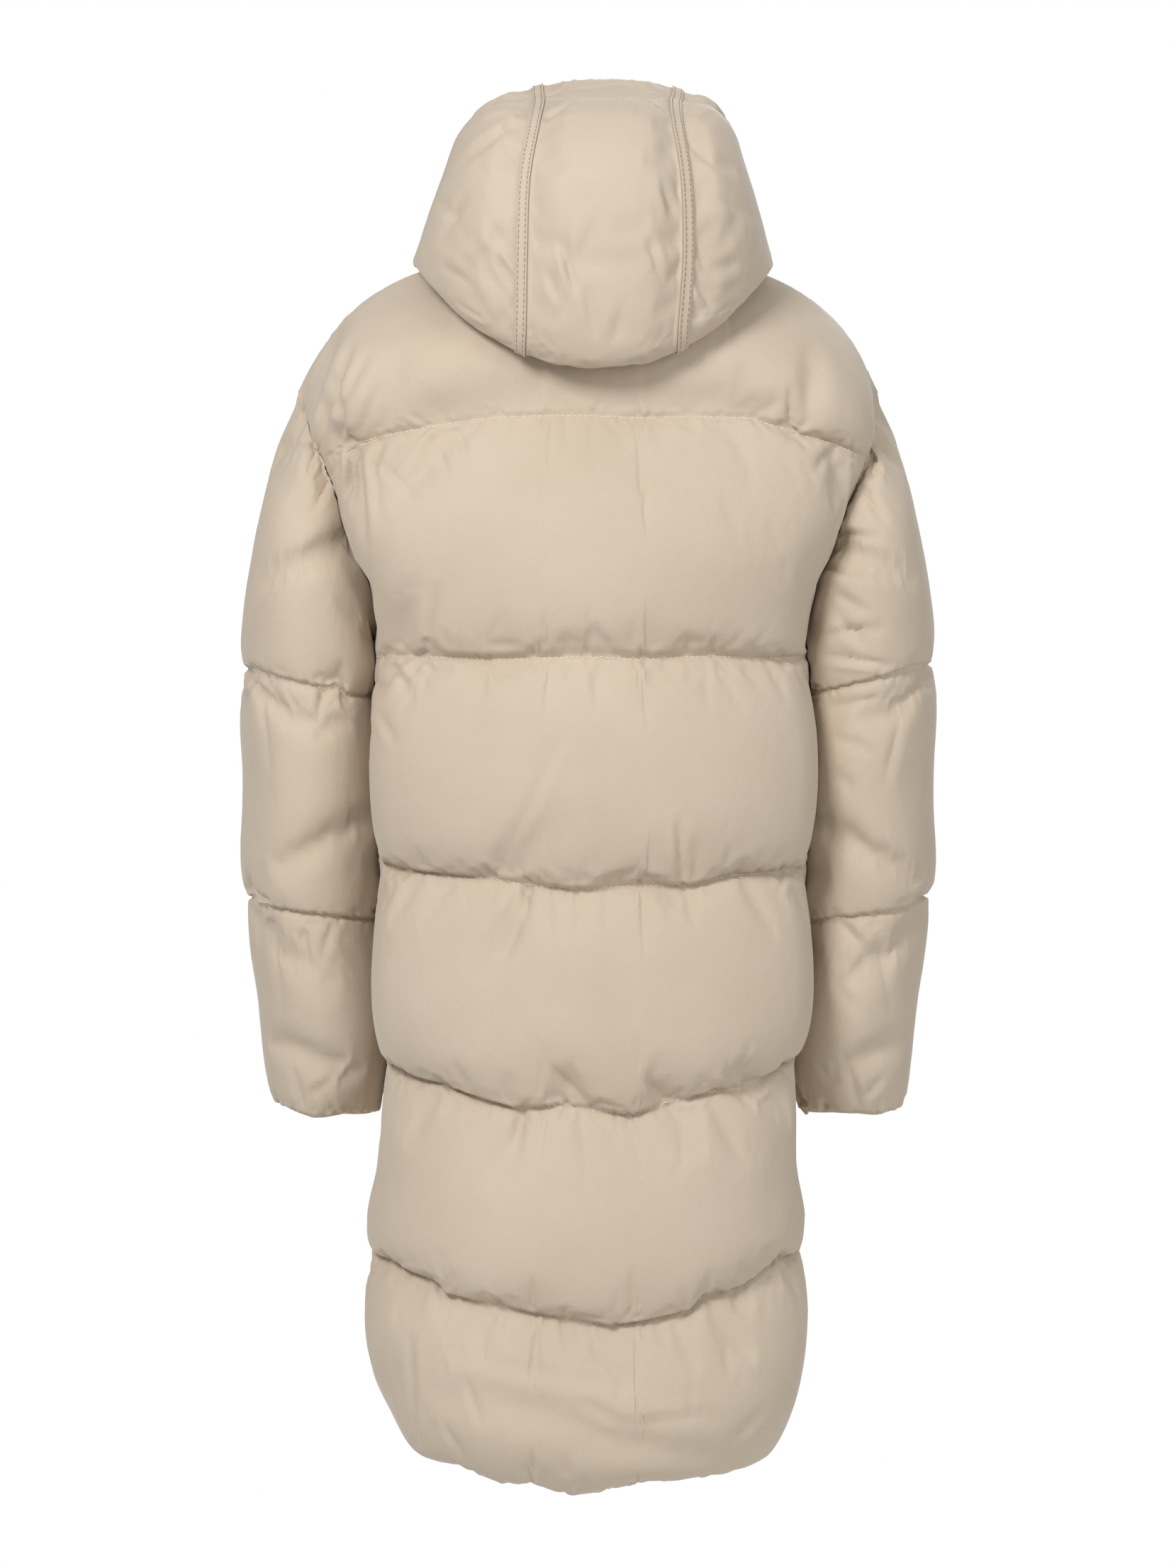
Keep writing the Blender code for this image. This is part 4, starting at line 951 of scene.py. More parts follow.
def strayed(torso, rows):
    """Moves the quilt lines off the CAD model's smooth ones. The fronts meet the back."""
    rises = {name: stray_rise(name, grid, rows) for name, grid in torso.items()}
    for name, edge, back_edge in (("front_left", -1, 0), ("front_right", 0, -1)):
        away = edge_distance(torso[name], edge == 0, edge == -1)
        own = smoothstep(0, STRAY_BLEND, away)
        rises[name] = rises[name] * own + rises["back"][:, back_edge, None] * (1 - own)
    up = np.array([0, 0, 1])
    return {name: grid + rises[name][..., None] * up for name, grid in torso.items()}


def waved(grid, rows, seed):
    """Moves a sleeve's two quilt lines and its end up and down unevenly round the arm."""
    rng = np.random.default_rng(seed)
    grid = grid.copy()
    around = np.arange(grid.shape[1]) / grid.shape[1]
    for line in (1, 2, 3):
        knots = np.sort(rng.uniform(0, 1, LINE_KNOTS))
        rises = rng.uniform(-LINE_WAVE, LINE_WAVE, LINE_KNOTS)
        near = hump(rows, line, STRAY_REACH)[:, None]
        grid[..., 2] += near * np.interp(around, knots, rises, period=1)
    return grid


def sewn_rows(grid, rows, lines, edges):
    """Which points are held while the cloth relaxes: the lines' rows and the named edges."""
    held = np.zeros(grid.shape[:2], bool)
    for line in lines:
        held[np.isclose(rows, line)] = True
    for edge in edges:
        held[EDGES[edge]] = True
    return held


def torso_pieces(rows):
    """The back and the two fronts."""
    back_shares = panel_shares(BACK_ANGLES, 0)
    front_shares = panel_shares(FRONT_ANGLES, 180)
    back_left = half_panel(back_shares, 0, 1, rows)[:, ::-1]
    back_right = half_panel(back_shares, 0, -1, rows)
    return {
        "back": np.concatenate([back_left, back_right[:, 1:]], axis=1),
        "front_left": half_panel(front_shares, 180, 1, rows),
        "front_right": half_panel(front_shares, 180, -1, rows)[:, ::-1],
    }


def armhole(torso, hand):
    """The armhole from the shoulder tip down the back to the underarm and up the front."""
    back_edge = torso["back"][: UNDERARM_ROW + 1, 0 if hand > 0 else -1]
    front = torso["front_left" if hand > 0 else "front_right"]
    front_edge = front[: UNDERARM_ROW + 1, -1 if hand > 0 else 0]
    return np.concatenate([back_edge, front_edge[-2:0:-1]])


def outer_tree(pieces):
    """A search tree of the outer faces of pieces."""
    points, faces = [], []
    for piece in pieces:
        faces += quads(indices(piece.outer, start=len(points)))
        points += piece.outer.reshape(-1, 3).tolist()
    return BVHTree.FromPolygons(points, faces)


def make_surfaces():
    """All cloth pieces on the CAD model's shape, by name, as coarse as the cloth is run."""
    torso = strayed(torso_pieces(BODY_ROWS), BODY_ROWS)
    normals = {name: outward_normals(grid) for name, grid in torso.items()}
    to_front = np.append(BACK_ANGLES, FRONT_ANGLES[-2::-1])
    angles = np.append(-to_front[:0:-1], to_front)
    hood_rows = refined(HOOD_ROWS, DOWN)
    rings = [neck_ring(ring, seam_turned(ring, angles)) for ring in HOOD]
    hood = spline([ring.station for ring in HOOD], rings, hood_rows)
    wide = smoothstep(*HEEL_WIDE, np.abs(hood[..., 0]))
    heel = hump(hood_rows, *HEEL_AT)[:, None]
    hood[..., 0] -= np.sign(hood[..., 0]) * HEEL_ROUND * wide * heel
    hood_normals = outward_normals(hood)
    arms, turns, arm_normals = {}, {}, {}
    for side, hand in HANDS:
        arms[side], turns[side] = sleeve_grid(armhole(torso, hand), hand, ARM_ROWS)
        arm_normals[side] = ring_normals(arms[side], hand)
    join_all(normals, arm_normals, hood_normals)

    pieces = {}
    for name, grid in torso.items():
        lift = torso_lift(name, grid, normals[name], BODY_ROWS)
        from_zip = edge_distance(grid, name == "front_left", name == "front_right")
        lift = SEWN_LIFT + (lift - SEWN_LIFT) * smoothstep(*ZIP_RISE, from_zip)
        held = sewn_rows(grid, BODY_ROWS, range(7), EDGES)
        pieces[name] = Piece(name, grid, normals[name], BODY_ROWS, lift, held)
    tree = outer_tree(pieces.values())

    for side, hand in HANDS:
        grid = waved(arms[side], ARM_ROWS, WAVE_SEED + hand)
        across, turn = arm_normals[side], turns[side]
        for station, reach, lean in SLEEVE_LEAN:
            near = hump(ARM_ROWS, station, reach)[:, None]
            grid[..., 0] -= hand * lean * near * np.clip(-np.cos(turns[side]), 0, 1)
        if hand < 0:
            grid, across, turn = grid[:, ::-1], across[:, ::-1], turn[::-1]
        lift = sleeve_lift(grid, across, ARM_ROWS, turn, hand)
        grid = pressed(grid, across, lift, tree)
        held = sewn_rows(grid, ARM_ROWS, range(4), ("top", "bottom"))
        name = "sleeve_" + side
        pieces[name] = Piece(name, grid, across, ARM_ROWS, lift, held, ring=True)

    lift = hood_lift(angles, hood_rows)
    hood = pressed(hood, hood_normals, lift, tree)
    cuts = {
        "hood_side_right": slice(0, HOOD_MIDDLE - HOOD_SEAM + 1),
        "hood_centre": slice(HOOD_MIDDLE - HOOD_SEAM, HOOD_MIDDLE + HOOD_SEAM + 1),
        "hood_side_left": slice(HOOD_MIDDLE + HOOD_SEAM, len(angles)),
    }
    flat = np.abs(np.abs(angles) - SEAM_ANGLE) <= STRIP_ANGLE + 0.01
    for name, columns in cuts.items():
        grid, across = hood[:, columns], hood_normals[:, columns]
        held = sewn_rows(grid, hood_rows, (BRIM_STITCH,), EDGES) | flat[columns]
        pieces[name] = Piece(name, grid, across, hood_rows, lift[:, columns], held)
    return pieces


# ---------------------------------------------------------------- cloth


def indices(grid, ring=False, start=0):
    """The numbers of a grid's points. A tube's first column comes again as its last."""
    index = np.arange(grid[..., 0].size).reshape(grid.shape[:2]) + start
    return np.concatenate([index, index[:, :1]], axis=1) if ring else index


def loose(piece):
    """How freely each point may move: less on the yoke and on the body beside the arms."""
    if piece.kind == "sleeve":
        return np.ones(piece.outer.shape[:2])
    if piece.kind == "hood":
        return np.full(piece.outer.shape[:2], HOOD_LOOSE)
    beside = smoothstep(*SIDE_LOOSE, side_distance(piece.name, piece.grid))
    free = YOKE_LOOSE + (1 - YOKE_LOOSE) * smoothstep(*BELOW_YOKE, piece.rows)
    return free[:, None] * (SEAM_LOOSE + (1 - SEAM_LOOSE) * beside)


def relax(pieces):
    """Runs Blender's cloth on every outer face at once, held at the sewing."""
    scene = bpy.context.scene
    cloths = {}
    for name, piece in pieces.items():
        faces = quads(indices(piece.outer, piece.ring))
        made = linked(name + "_cloth", new_mesh(name + "_cloth", piece.outer, faces))
        group = made.vertex_groups.new(name="sewn")
        group.add(np.flatnonzero(piece.sewn.ravel()).tolist(), 1.0, "REPLACE")
        cloth = made.modifiers.new("cloth", "CLOTH")
        for setting, value in CLOTH.items():
            setattr(cloth.settings, setting, value)
        cloth.settings.effector_weights.gravity = 0
        cloth.collision_settings.use_collision = False
        cloth.collision_settings.use_self_collision = False
        cloth.point_cache.frame_end = FRAMES
        cloths[name] = made
    for frame_number in range(1, FRAMES + 1):
        scene.frame_set(frame_number)
    graph = bpy.context.evaluated_depsgraph_get()
    for name, made in cloths.items():
        piece = pieces[name]
        settled = np.empty(piece.outer.size, np.float32)
        made.evaluated_get(graph).data.vertices.foreach_get("co", settled)
        move = (settled.reshape(piece.outer.shape) / MM - piece.outer) * loose(piece)[..., None]
        far = np.linalg.norm(move, axis=-1, keepdims=True)
        move = move * MOST_MOVE * np.tanh(far / MOST_MOVE) / np.maximum(far, 1e-6)
        piece.outer = piece.outer + move
        bpy.data.objects.remove(made)
    scene.frame_set(1)


def clear_body(pieces):
    """Moves the sleeves' and the hood's outer faces off the body's, where they come close."""
    body = [piece for piece in pieces.values() if piece.kind in ("back", "front")]
    tree = outer_tree(body)
    for piece in pieces.values():
        if piece in body:
            continue
        for row, column in np.argwhere(~piece.sewn):
            point = piece.outer[row, column]
            near, direction, _, away = tree.find_nearest(point)
            if away < CLEAR_REACH:
                direction = np.array(direction)
                point += direction * max(0, CLEAR_OF_BODY - (point - near) @ direction)


# ---------------------------------------------------------------- creases and puckers


def crease_height(points, normals, creases, hand=1):
    """Depth of the drawn creases, with the cloth raised along one side of each."""
    height = np.zeros(points.shape[:-1])
    start, length, power = CREASE_TAPER
    for crease in creases:
        ends = (hand * crease.x1, crease.z1), (hand * crease.x2, crease.z2)
        share, away = to_segment(points, *ends)
        taper = np.clip(np.sin(math.pi * (start + length * share)), 0, 1) ** power
        facing = smoothstep(*CREASE_FACING, crease.side * normals[..., 1])
        trough = np.exp(-((np.abs(away) / (CREASE_NARROW * crease.width)) ** CREASE_SHARP))
        middle, reach = (widths * crease.width for widths in CREASE_LIP)
        lip = abs(crease.lip) * hump(away * hand * np.sign(crease.lip), middle, reach)
        height += CREASE_DEEP * crease.depth * (LIP_SHARE * lip - trough) * taper * facing
    return height


def add_pucker(height, along, off, place, reach, depth, width, slant, around):
    """One short trough that fans out from a seam or a quilt line at place along it."""
    away = (along - place + around / 2) % around - around / 2
    here = (off >= 0) & (off < reach) & (np.abs(away) < abs(slant) * reach + 4 * width)
    share = off[here] / reach
    width_there, widening = PUCKER_FAN
    across = (away[here] - slant * off[here]) / (width * (width_there + widening * share))
    begin, power = PUCKER_FADE
    fade = np.sqrt(np.clip(share / begin, 0, 1)) * (1 - share) ** power
    swell, beside = PUCKER_LIP
    trough = np.exp(-(np.abs(across) ** CREASE_SHARP))
    profile = swell * hump(np.abs(across), beside, 1) - trough
    height[here] += depth * profile * fade


def pucker_line(height, along, off, kind, rng, strong=(), around=OPEN):
    """Puckers all along one side of a seam, and deep ones at the places in strong.

    around is the length of a seam that closes on itself."""
    place = along.min() + rng.uniform(*FIRST_PUCKER)
    while place < min(along.max(), around - LAST_PUCKER):
        reach, depth, width = (rng.uniform(*span) for span in (kind.reach, kind.depth, kind.width))
        slant = rng.uniform(-PUCKER_SLANT, PUCKER_SLANT)
        add_pucker(height, along, off, place, reach, depth, width, slant, around)
        place += rng.uniform(*kind.spacing)
    longer, deep, width = STRONG_PUCKER
    reaches, depths = STRONG_UNEVEN
    for place, slant in strong:
        reach = longer * kind.reach[1] * rng.uniform(*reaches)
        depth = deep * rng.uniform(*depths)
        add_pucker(height, along, off, place, reach, depth, width, slant, around)


def pucker_piece(piece, lines, kinds, rng):
    """Puckers above and below each quilt line of a piece."""
    height = np.zeros(piece.outer.shape[:2])
    across, down = piece.runs()
    for line, (above, below) in zip(lines, kinds):
        row = piece.row(line)
        along = np.broadcast_to(across[row], height.shape)
        off = down - down[row]
        closing = np.linalg.norm(piece.outer[row, 0] - piece.outer[row, -1])
        around = across[row, -1] + closing if piece.ring else OPEN
        kinks, _ = STRAYS.get((piece.name, line), ((), ()))
        strong = []
        for x in kinks[1:-1]:
            place = np.interp(0, *ordered(piece.outer[row, :, 0] - x, across[row]))
            strong.append((place, rng.uniform(-STRONG_SLANT, STRONG_SLANT)))
        for kind, side in ((above, -off), (below, off)):
            if kind:
                pucker_line(height, along, side, kind, rng, strong, around)
    return height


def ordered(x, values):
    """x and values with x rising, as np.interp wants them."""
    order = np.argsort(x)
    return x[order], values[order]


def pucker_sides(piece, columns, kind, rng):
    """Puckers beside a piece's side seams."""
    height = np.zeros(piece.outer.shape[:2])
    across, down = piece.runs()
    for column in columns:
        along = np.broadcast_to(down[:, column, None], height.shape)
        pucker_line(height, along, np.abs(across - across[:, column, None]), kind, rng)
    return height


def crumple(points, rng, size, amount):
    """A soft, uneven crumple: ridges of random direction that fade in and out."""
    height = np.zeros(points.shape[:-1])
    for _ in range(CRUMPLE_RIDGES):
        way = unit(rng.normal(size=3) * CRUMPLE_ACROSS)
        cross = unit(np.cross(way, rng.normal(size=3)))
        wave = np.sin(points @ way / size * rng.uniform(*CRUMPLE_FINER) + rng.uniform(0, TURN))
        patch = np.sin(points @ cross / (CRUMPLE_PATCH * size) + rng.uniform(0, TURN))
        height += (1 - 2 * np.sqrt(np.abs(wave))) * np.clip(patch, 0, 1) ** 2
    return amount * height / CRUMPLE_SHARE


def add_details(pieces):
    """Creases, puckers and crumpling on every relaxed outer face."""
    for number, (name, piece) in enumerate(pieces.items()):
        rng = np.random.default_rng(PUCKER_SEED + number)
        normals = face_normals(piece)
        height = crumple(piece.outer, rng, *CRUMPLES[piece.kind])
        hand = -1 if name == "sleeve_right" else 1
        creases = CREASES.get(name) or CREASES[piece.kind]
        drawn = crease_height(piece.outer, normals, creases, hand)
        if piece.kind == "sleeve":
            kinds = [(None, ARMHOLE_PUCKER)] + [(SLEEVE_PUCKER, SLEEVE_PUCKER)] * 2
            height += drawn
            height += pucker_piece(piece, range(4), kinds + [(CUFF_PUCKER, None)], rng)
        elif piece.kind == "hood":
            kinds = [(HOOD_PUCKER, HOOD_PUCKER), (HOOD_PUCKER, None)]
            height += drawn * smoothstep(*HOOD_OUTSIDE, piece.rows)[:, None]
            height += pucker_piece(piece, (BRIM_STITCH, HOOD[-1].station), kinds, rng)
            height += pucker_sides(piece, SEAM_COLUMNS[name], HOOD_PUCKER, rng)
        else:
            body = [(BODY_PUCKER, BODY_PUCKER)] * 5
            height += drawn
            height += pucker_piece(
                piece, range(7), [(None, SLEEVE_PUCKER)] + body + [(HEM_PUCKER, None)], rng
            )
            height += pucker_sides(piece, SIDE_COLUMNS[name], ARMHOLE_PUCKER, rng)
        thick = np.sum((piece.outer - piece.grid) * piece.normals, axis=-1) + INNER_DROP
        height = np.maximum(height * held_down(piece), np.minimum(THINNEST - thick, 0))
        piece.outer = piece.outer + normals * height[..., None]


def held_down(piece):
    """0 where a piece is sewn, rising to 1 a little way off. Its free edges aren't held."""
    across, down = piece.runs()
    away = down.copy()
    if "first" in SEAMS[piece.name]:
        away = np.minimum(away, across)
    if "last" in SEAMS[piece.name]:
        away = np.minimum(away, across[:, -1:] - across)
    for line in piece.stitched():
        away = np.minimum(away, np.abs(down - down[piece.row(line)]))
    for column in SEAM_COLUMNS.get(piece.name, ()):
        beside = np.abs(across - across[:, column, None]) - STRIP_HALF - 1
        away = np.minimum(away, np.maximum(beside, 0))
    return smoothstep(0, SEWN_FLAT, away)


def face_normals(piece):
    return ring_normals(piece.outer, 1) if piece.ring else outward_normals(piece.outer)


# ---------------------------------------------------------------- meshes


def linked(name, data):
    """A new object in the scene."""
    made = bpy.data.objects.new(name, data)
    bpy.context.scene.collection.objects.link(made)
    return made


def new_mesh(name, points, faces):
    """A mesh, from points in millimetres."""
    mesh = bpy.data.meshes.new(name)
    mesh.from_pydata((np.asarray(points).reshape(-1, 3) * MM).tolist(), [], faces)
    mesh.update()
    return mesh


def add_piece(name, points, faces, material):
    """A new visible piece of the coat."""
    mesh = new_mesh(name, points, faces)
    mesh.materials.append(material)
    mesh.shade_smooth()
    mesh.set_sharp_from_angle(angle=math.radians(SHARP_ANGLE))
    made = linked(name, mesh)
    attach(made, "coat")
    return made


def square_inward(edge, neighbours, normals):
    """Directions from an edge into its own piece, square to the edge and along the cloth."""
    along = unit(np.gradient(edge, axis=0))
    inward = neighbours - edge
    for direction in (along, normals):
        inward = inward - direction * np.sum(inward * direction, axis=-1, keepdims=True)
    return unit(inward)


def make_wall(piece, material):
    """The closed wall of a piece: its detailed outside, its plain inside and its edges.

    Its seam edges are drawn back from the piece that they meet, and its free ones are rolled
    round. The inside keeps every INSIDE'th row and column."""
    outer, grid, normals = piece.outer.copy(), piece.grid, piece.normals
    inner = grid - normals * INNER_DROP
    roll = np.zeros_like(outer)
    seams = SEAMS[piece.name]
    edges = ("top", "bottom") if piece.ring else EDGES
    for edge in sorted(edges, key=lambda edge: edge not in seams):
        at = EDGES[edge]
        inward = square_inward(grid[at], grid[BESIDE[edge]], normals[at])
        if edge in seams:
            outer[at] += inward * SEAM_GAP / 2
            inner[at] += inward * SEAM_GAP / 2
        else:
            thick = np.linalg.norm(outer[at] - inner[at], axis=-1, keepdims=True)
            roll[at] -= inward * thick / 2

    rows, columns = grid.shape[:2]
    index = indices(grid, piece.ring)
    faces = quads(index)
    points = [outer.reshape(-1, 3)]
    count = rows * columns

    coarse_rows = np.arange(0, rows, INSIDE)
    coarse_columns = np.arange(0, columns, INSIDE)
    kept = inner[coarse_rows][:, coarse_columns]
    inside = indices(kept, piece.ring, count)
    full = np.full(index.shape, -1)
    if piece.ring:
        coarse_columns = np.append(coarse_columns, columns)
    full[np.ix_(coarse_rows, coarse_columns)] = inside
    points.append(kept.reshape(-1, 3))
    count += kept[..., 0].size
    faces += [face[::-1] for face in quads(inside)]

    if piece.ring:
        loops = [(index[end], full[end]) for end in (np.s_[0, ::-1], np.s_[-1])]
    else:
        loops = [(rim_of(index), rim_of(full))]
    for rim, below in loops:
        steps = rim[:-1]
        ends = outer.reshape(-1, 3)[steps], inner.reshape(-1, 3)[steps]
        bulge = roll.reshape(-1, 3)[steps]
        last = rim
        for turn in ROLL_TURNS:
            middle, half = (ends[0] + ends[1]) / 2, (ends[0] - ends[1]) / 2
            points.append(middle + half * math.cos(turn) + bulge * math.sin(turn))
            ring = np.append(np.arange(len(steps)) + count, count)
            count += len(steps)
            faces += np.stack([last[:-1], ring[:-1], ring[1:], last[1:]], -1).tolist()
            last = ring
        faces += fans(last, below)
    made = add_piece(piece.name + "_shell", np.concatenate(points), faces, material)
    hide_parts(piece.name)


def rim_of(index):
    """The numbers round the edge of a grid, back to the first one."""
    return np.concatenate([index[0, ::-1], index[1:, 0], index[-1, 1:], index[-2::-1, -1]])


def quads(index):
    """Faces between the points of a grid of indices."""
    corners = index[:-1, :-1], index[1:, :-1], index[1:, 1:], index[:-1, 1:]
    return np.stack(corners, -1).reshape(-1, 4).tolist()


def fans(fine, coarse):
    """Triangles between a fine loop and the coarse one beside it, whose gaps hold -1."""
    faces = []
    known = np.flatnonzero(coarse >= 0)
    for start, end in zip(known[:-1], known[1:]):
        middle = (start + end) // 2
        faces += [[fine[i], coarse[start], fine[i + 1]] for i in range(start, middle)]
        faces.append([fine[middle], coarse[start], coarse[end]])
        faces += [[fine[i], coarse[end], fine[i + 1]] for i in range(middle, end)]
    return faces


def ribbon(name, across, middle, side, out, thick, material, curl=0):
    """A strip of cloth whose rows lie at middle, from across[0] to across[-1] along side.

    Its outer face stands thick above the points, and its long edges are a little rounded.
    curl says how far each place across it stands off the points."""
    lift = np.full(len(across), thick)
    lift[[0, -1]] *= RIBBON_EDGE
    rise = np.zeros(len(across)) + curl
    under = middle[:, None] + side[:, None] * across[:, None] + out[:, None] * rise[:, None]
    top = under + out[:, None] * lift[:, None]
    index = indices(top)
    if np.sum(np.cross(np.gradient(middle, axis=0), side) * out) < 0:
        index = index[:, ::-1]
    faces = quads(index) + [face[::-1] for face in quads(index + index.size)]
    rim = rim_of(index)
    below = rim + index.size
    faces += np.stack([rim[:-1], below[:-1], below[1:], rim[1:]], -1).tolist()
    points = np.concatenate([top.reshape(-1, 3), under.reshape(-1, 3)])
    return add_piece(name, points, faces, material)


def distances(line):
    """How far along a line each of its points lies."""
    return np.append(0, np.cumsum(np.linalg.norm(np.diff(line, axis=0), axis=1)))


def read_line(line, run, at):
    """The values of a line's points, which lie run along it, at other places."""
    return np.stack([np.interp(at, run, line[:, axis]) for axis in range(3)], -1)


class Stitches:
    """Collects stitches, each a small round-ended thread, into one mesh."""

    SIDES = 5
    RINGS = ((0.0, 0.35), (0.16, 1.0), (0.84, 1.0), (1.0, 0.35))  # share along, and of the radius

    def __init__(self):
        self.points, self.faces, self.count = [], [], 0

    def along(self, line, normals, seed, closed=False):
        """Stitches along a line of points that lies on the cloth."""
        rng = np.random.default_rng(seed)
        if closed:
            line, normals = (np.concatenate([item, item[:1]]) for item in (line, normals))
        run = distances(line)
        for start in np.arange(STITCH_GAP, run[-1] - STITCH, STITCH + STITCH_GAP):
            at = start + np.array([0, STITCH]) + rng.uniform(-STITCH_SWAY, STITCH_SWAY, 2)
            ends = read_line(line, run, at)
            out = unit(read_line(normals, run, at.mean()))
            side = unit(np.cross(out, unit(ends[1] - ends[0])))
            sway = rng.uniform(-STITCH_SWAY, STITCH_SWAY, (2, 1))
            ends += side * sway + out * THREAD * STITCH_UP
            self.add(ends[0], ends[1], out, side)

    def add(self, start, end, out, side):
        """One stitch, whose ends sink into the cloth."""
        turns = np.arange(self.SIDES) * 2 * math.pi / self.SIDES
        circle = np.cos(turns)[:, None] * side + np.sin(turns)[:, None] * out
        for share, size in self.RINGS:
            sunk = start + (end - start) * share - out * THREAD * (1 - size)
            self.points.append(sunk + circle * THREAD * size)
        index = indices(np.empty((len(self.RINGS), self.SIDES, 3)), True, self.count)
        self.faces += [face[::-1] for face in quads(index)]
        self.faces += [index[0, :-1].tolist(), index[-1, -2::-1].tolist()]
        self.count += self.SIDES * len(self.RINGS)

    def make(self, name, material):
        add_piece(name, np.concatenate(self.points), self.faces, material)


# ---------------------------------------------------------------- sewing and zip


def make_stitches(pieces, material):
    """The quilt lines' stitches and the line round the brim."""
    thread = Stitches()
    for number, piece in enumerate(pieces.values()):
        normals = face_normals(piece)
        for line in piece.stitched():
            row, seed = piece.row(line), QUILT_SEEDS * number + int(line)
            thread.along(piece.outer[row], normals[row], seed, piece.ring)
    thread.make("quilt_stitches", material)


def make_strips(pieces, cloth, material):
    """The two strips sewn over the hood's seams, each with two rows of stitches."""
    thread = Stitches()
    centre = pieces["hood_centre"]
    normals = face_normals(centre)
    for number, (name, column) in enumerate((("left", -1), ("right", 0))):
        out = normals[:, column]
        side = unit(np.cross(out, unit(np.gradient(centre.outer[:, column], axis=0))))
        middle = centre.outer[:, column] + out * STRIP_CLEAR
        across = STRIP_HALF * np.array(STRIP_ACROSS)
        to_middle = -np.sign(across * side[len(side) // 2, 0] * middle[len(middle) // 2, 0])
        rise = (np.abs(across) / STRIP_HALF - CURL_FROM) / (1 - CURL_FROM)
        curl = STRIP_CURL * np.clip(to_middle * rise, 0, 1)
        made = ribbon(
            "hood_strip_" + name, across, middle, side, out, STRIP_THICK, cloth, curl
        )
        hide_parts("hood_seam_" + name)
        for hand in (-1, 1):
            line = middle + side * STRIP_STITCH * hand + out * STRIP_THICK
            thread.along(line, out, STRIP_SEEDS + 2 * number + hand)
    thread.make("strip_stitches", material)


def zip_edge(pieces, side):
    """(points, directions through the wall, directions into the front) up one zip edge."""
    column = 0 if side == "left" else -1
    front, hood = pieces["front_" + side], pieces["hood_side_" + side]
    rows = [front.grid[::-1, column], hood.grid[1:, -1 - column]]
    through = [front.normals[::-1, column], hood.normals[1:, -1 - column]]
    beside = ZIP_INWARD if side == "left" else -1 - ZIP_INWARD
    inner = [front.grid[::-1, beside], hood.grid[1:, -1 - beside]]
    points, through, inner = (np.concatenate(item) for item in (rows, through, inner))
    return points, unit(through), unit(inner - points)


def make_zip(pieces, cloth, metal):
    """Two tapes with their teeth, closed up to the slider and parted above it."""
    for side, hand in HANDS:
        points, through, inward = zip_edge(pieces, side)
        run = distances(points)
        stops = np.linspace(0, run[-1], int(run[-1] / TAPE_STEP) + 1)
        points, through, inward = (
            read_line(item, run, stops) for item in (points, through, inward)
        )
        through = unit(through)
        inward = unit(inward - through * np.sum(inward * through, axis=-1, keepdims=True))
        parting = run[-1] - SLIDER_DOWN + POST_UP
        below, above = TAPE_PARTS
        parted = smoothstep(parting - below, parting + above, stops)
        gap = SEAM_GAP + (TAPE_SPLIT - SEAM_GAP) * parted
        base = points - through * (TAPE_FACE + TAPE_THICK)
        to_edge = (hand * gap - base[:, 0]) / inward[:, 0]
        edge = base + inward * to_edge[:, None]
        across = np.array(TAPE_ACROSS, float)
        made = ribbon(
            "zip_tape_fine_" + side, across, edge, inward, through, TAPE_THICK, cloth
        )
        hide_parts("zip_tape_" + side)
        make_teeth("zip_teeth_" + side, hand, stops, edge, inward, through, metal)


def make_teeth(name, hand, stops, edge, inward, through, material):
    """One row of teeth on a tape's edge, which mesh with the other row's."""
    half = np.array(TOOTH) / 2
    corners = np.array([(x, y, z) for z in (-1, 1) for y in (-1, 1) for x in (-1, 1)])
    bevels = np.full((3, 3), TOOTH_CUT) + np.eye(3) * (1 - TOOTH_CUT)
    shape = np.concatenate([corners * half * bevel for bevel in bevels])
    hull = bmesh.new()
    for place in shape:
        hull.verts.new(place)
    bmesh.ops.convex_hull(hull, input=hull.verts)
    hull.verts.index_update()
    local = np.array([vertex.co for vertex in hull.verts])
    pattern = np.array([[vertex.index for vertex in face.verts] for face in hull.faces])
    hull.free()
    slider = stops[-1] - SLIDER_DOWN
    offset = TOOTH_PITCH / 2 if hand > 0 else 0
    low, high = TEETH_ENDS
    places = np.arange(low + offset, stops[-1] - high, TOOTH_PITCH)
    places = places[np.abs(places - slider) > SLIDER_HALF]
    points, faces = [], []
    for place in places:
        at, out, side = (read_line(item, stops, place) for item in (edge, through, inward))
        out, side = unit(out), unit(side)
        up = np.cross(out, side) * hand
        at = at + side * TOOTH_IN + out * TAPE_THICK / 2
        faces.append(pattern + len(points) * len(local))
        points.append(at + local @ np.stack([side, out, up]))
    add_piece(name, np.concatenate(points), np.concatenate(faces).tolist(), material)


# ---------------------------------------------------------------- materials


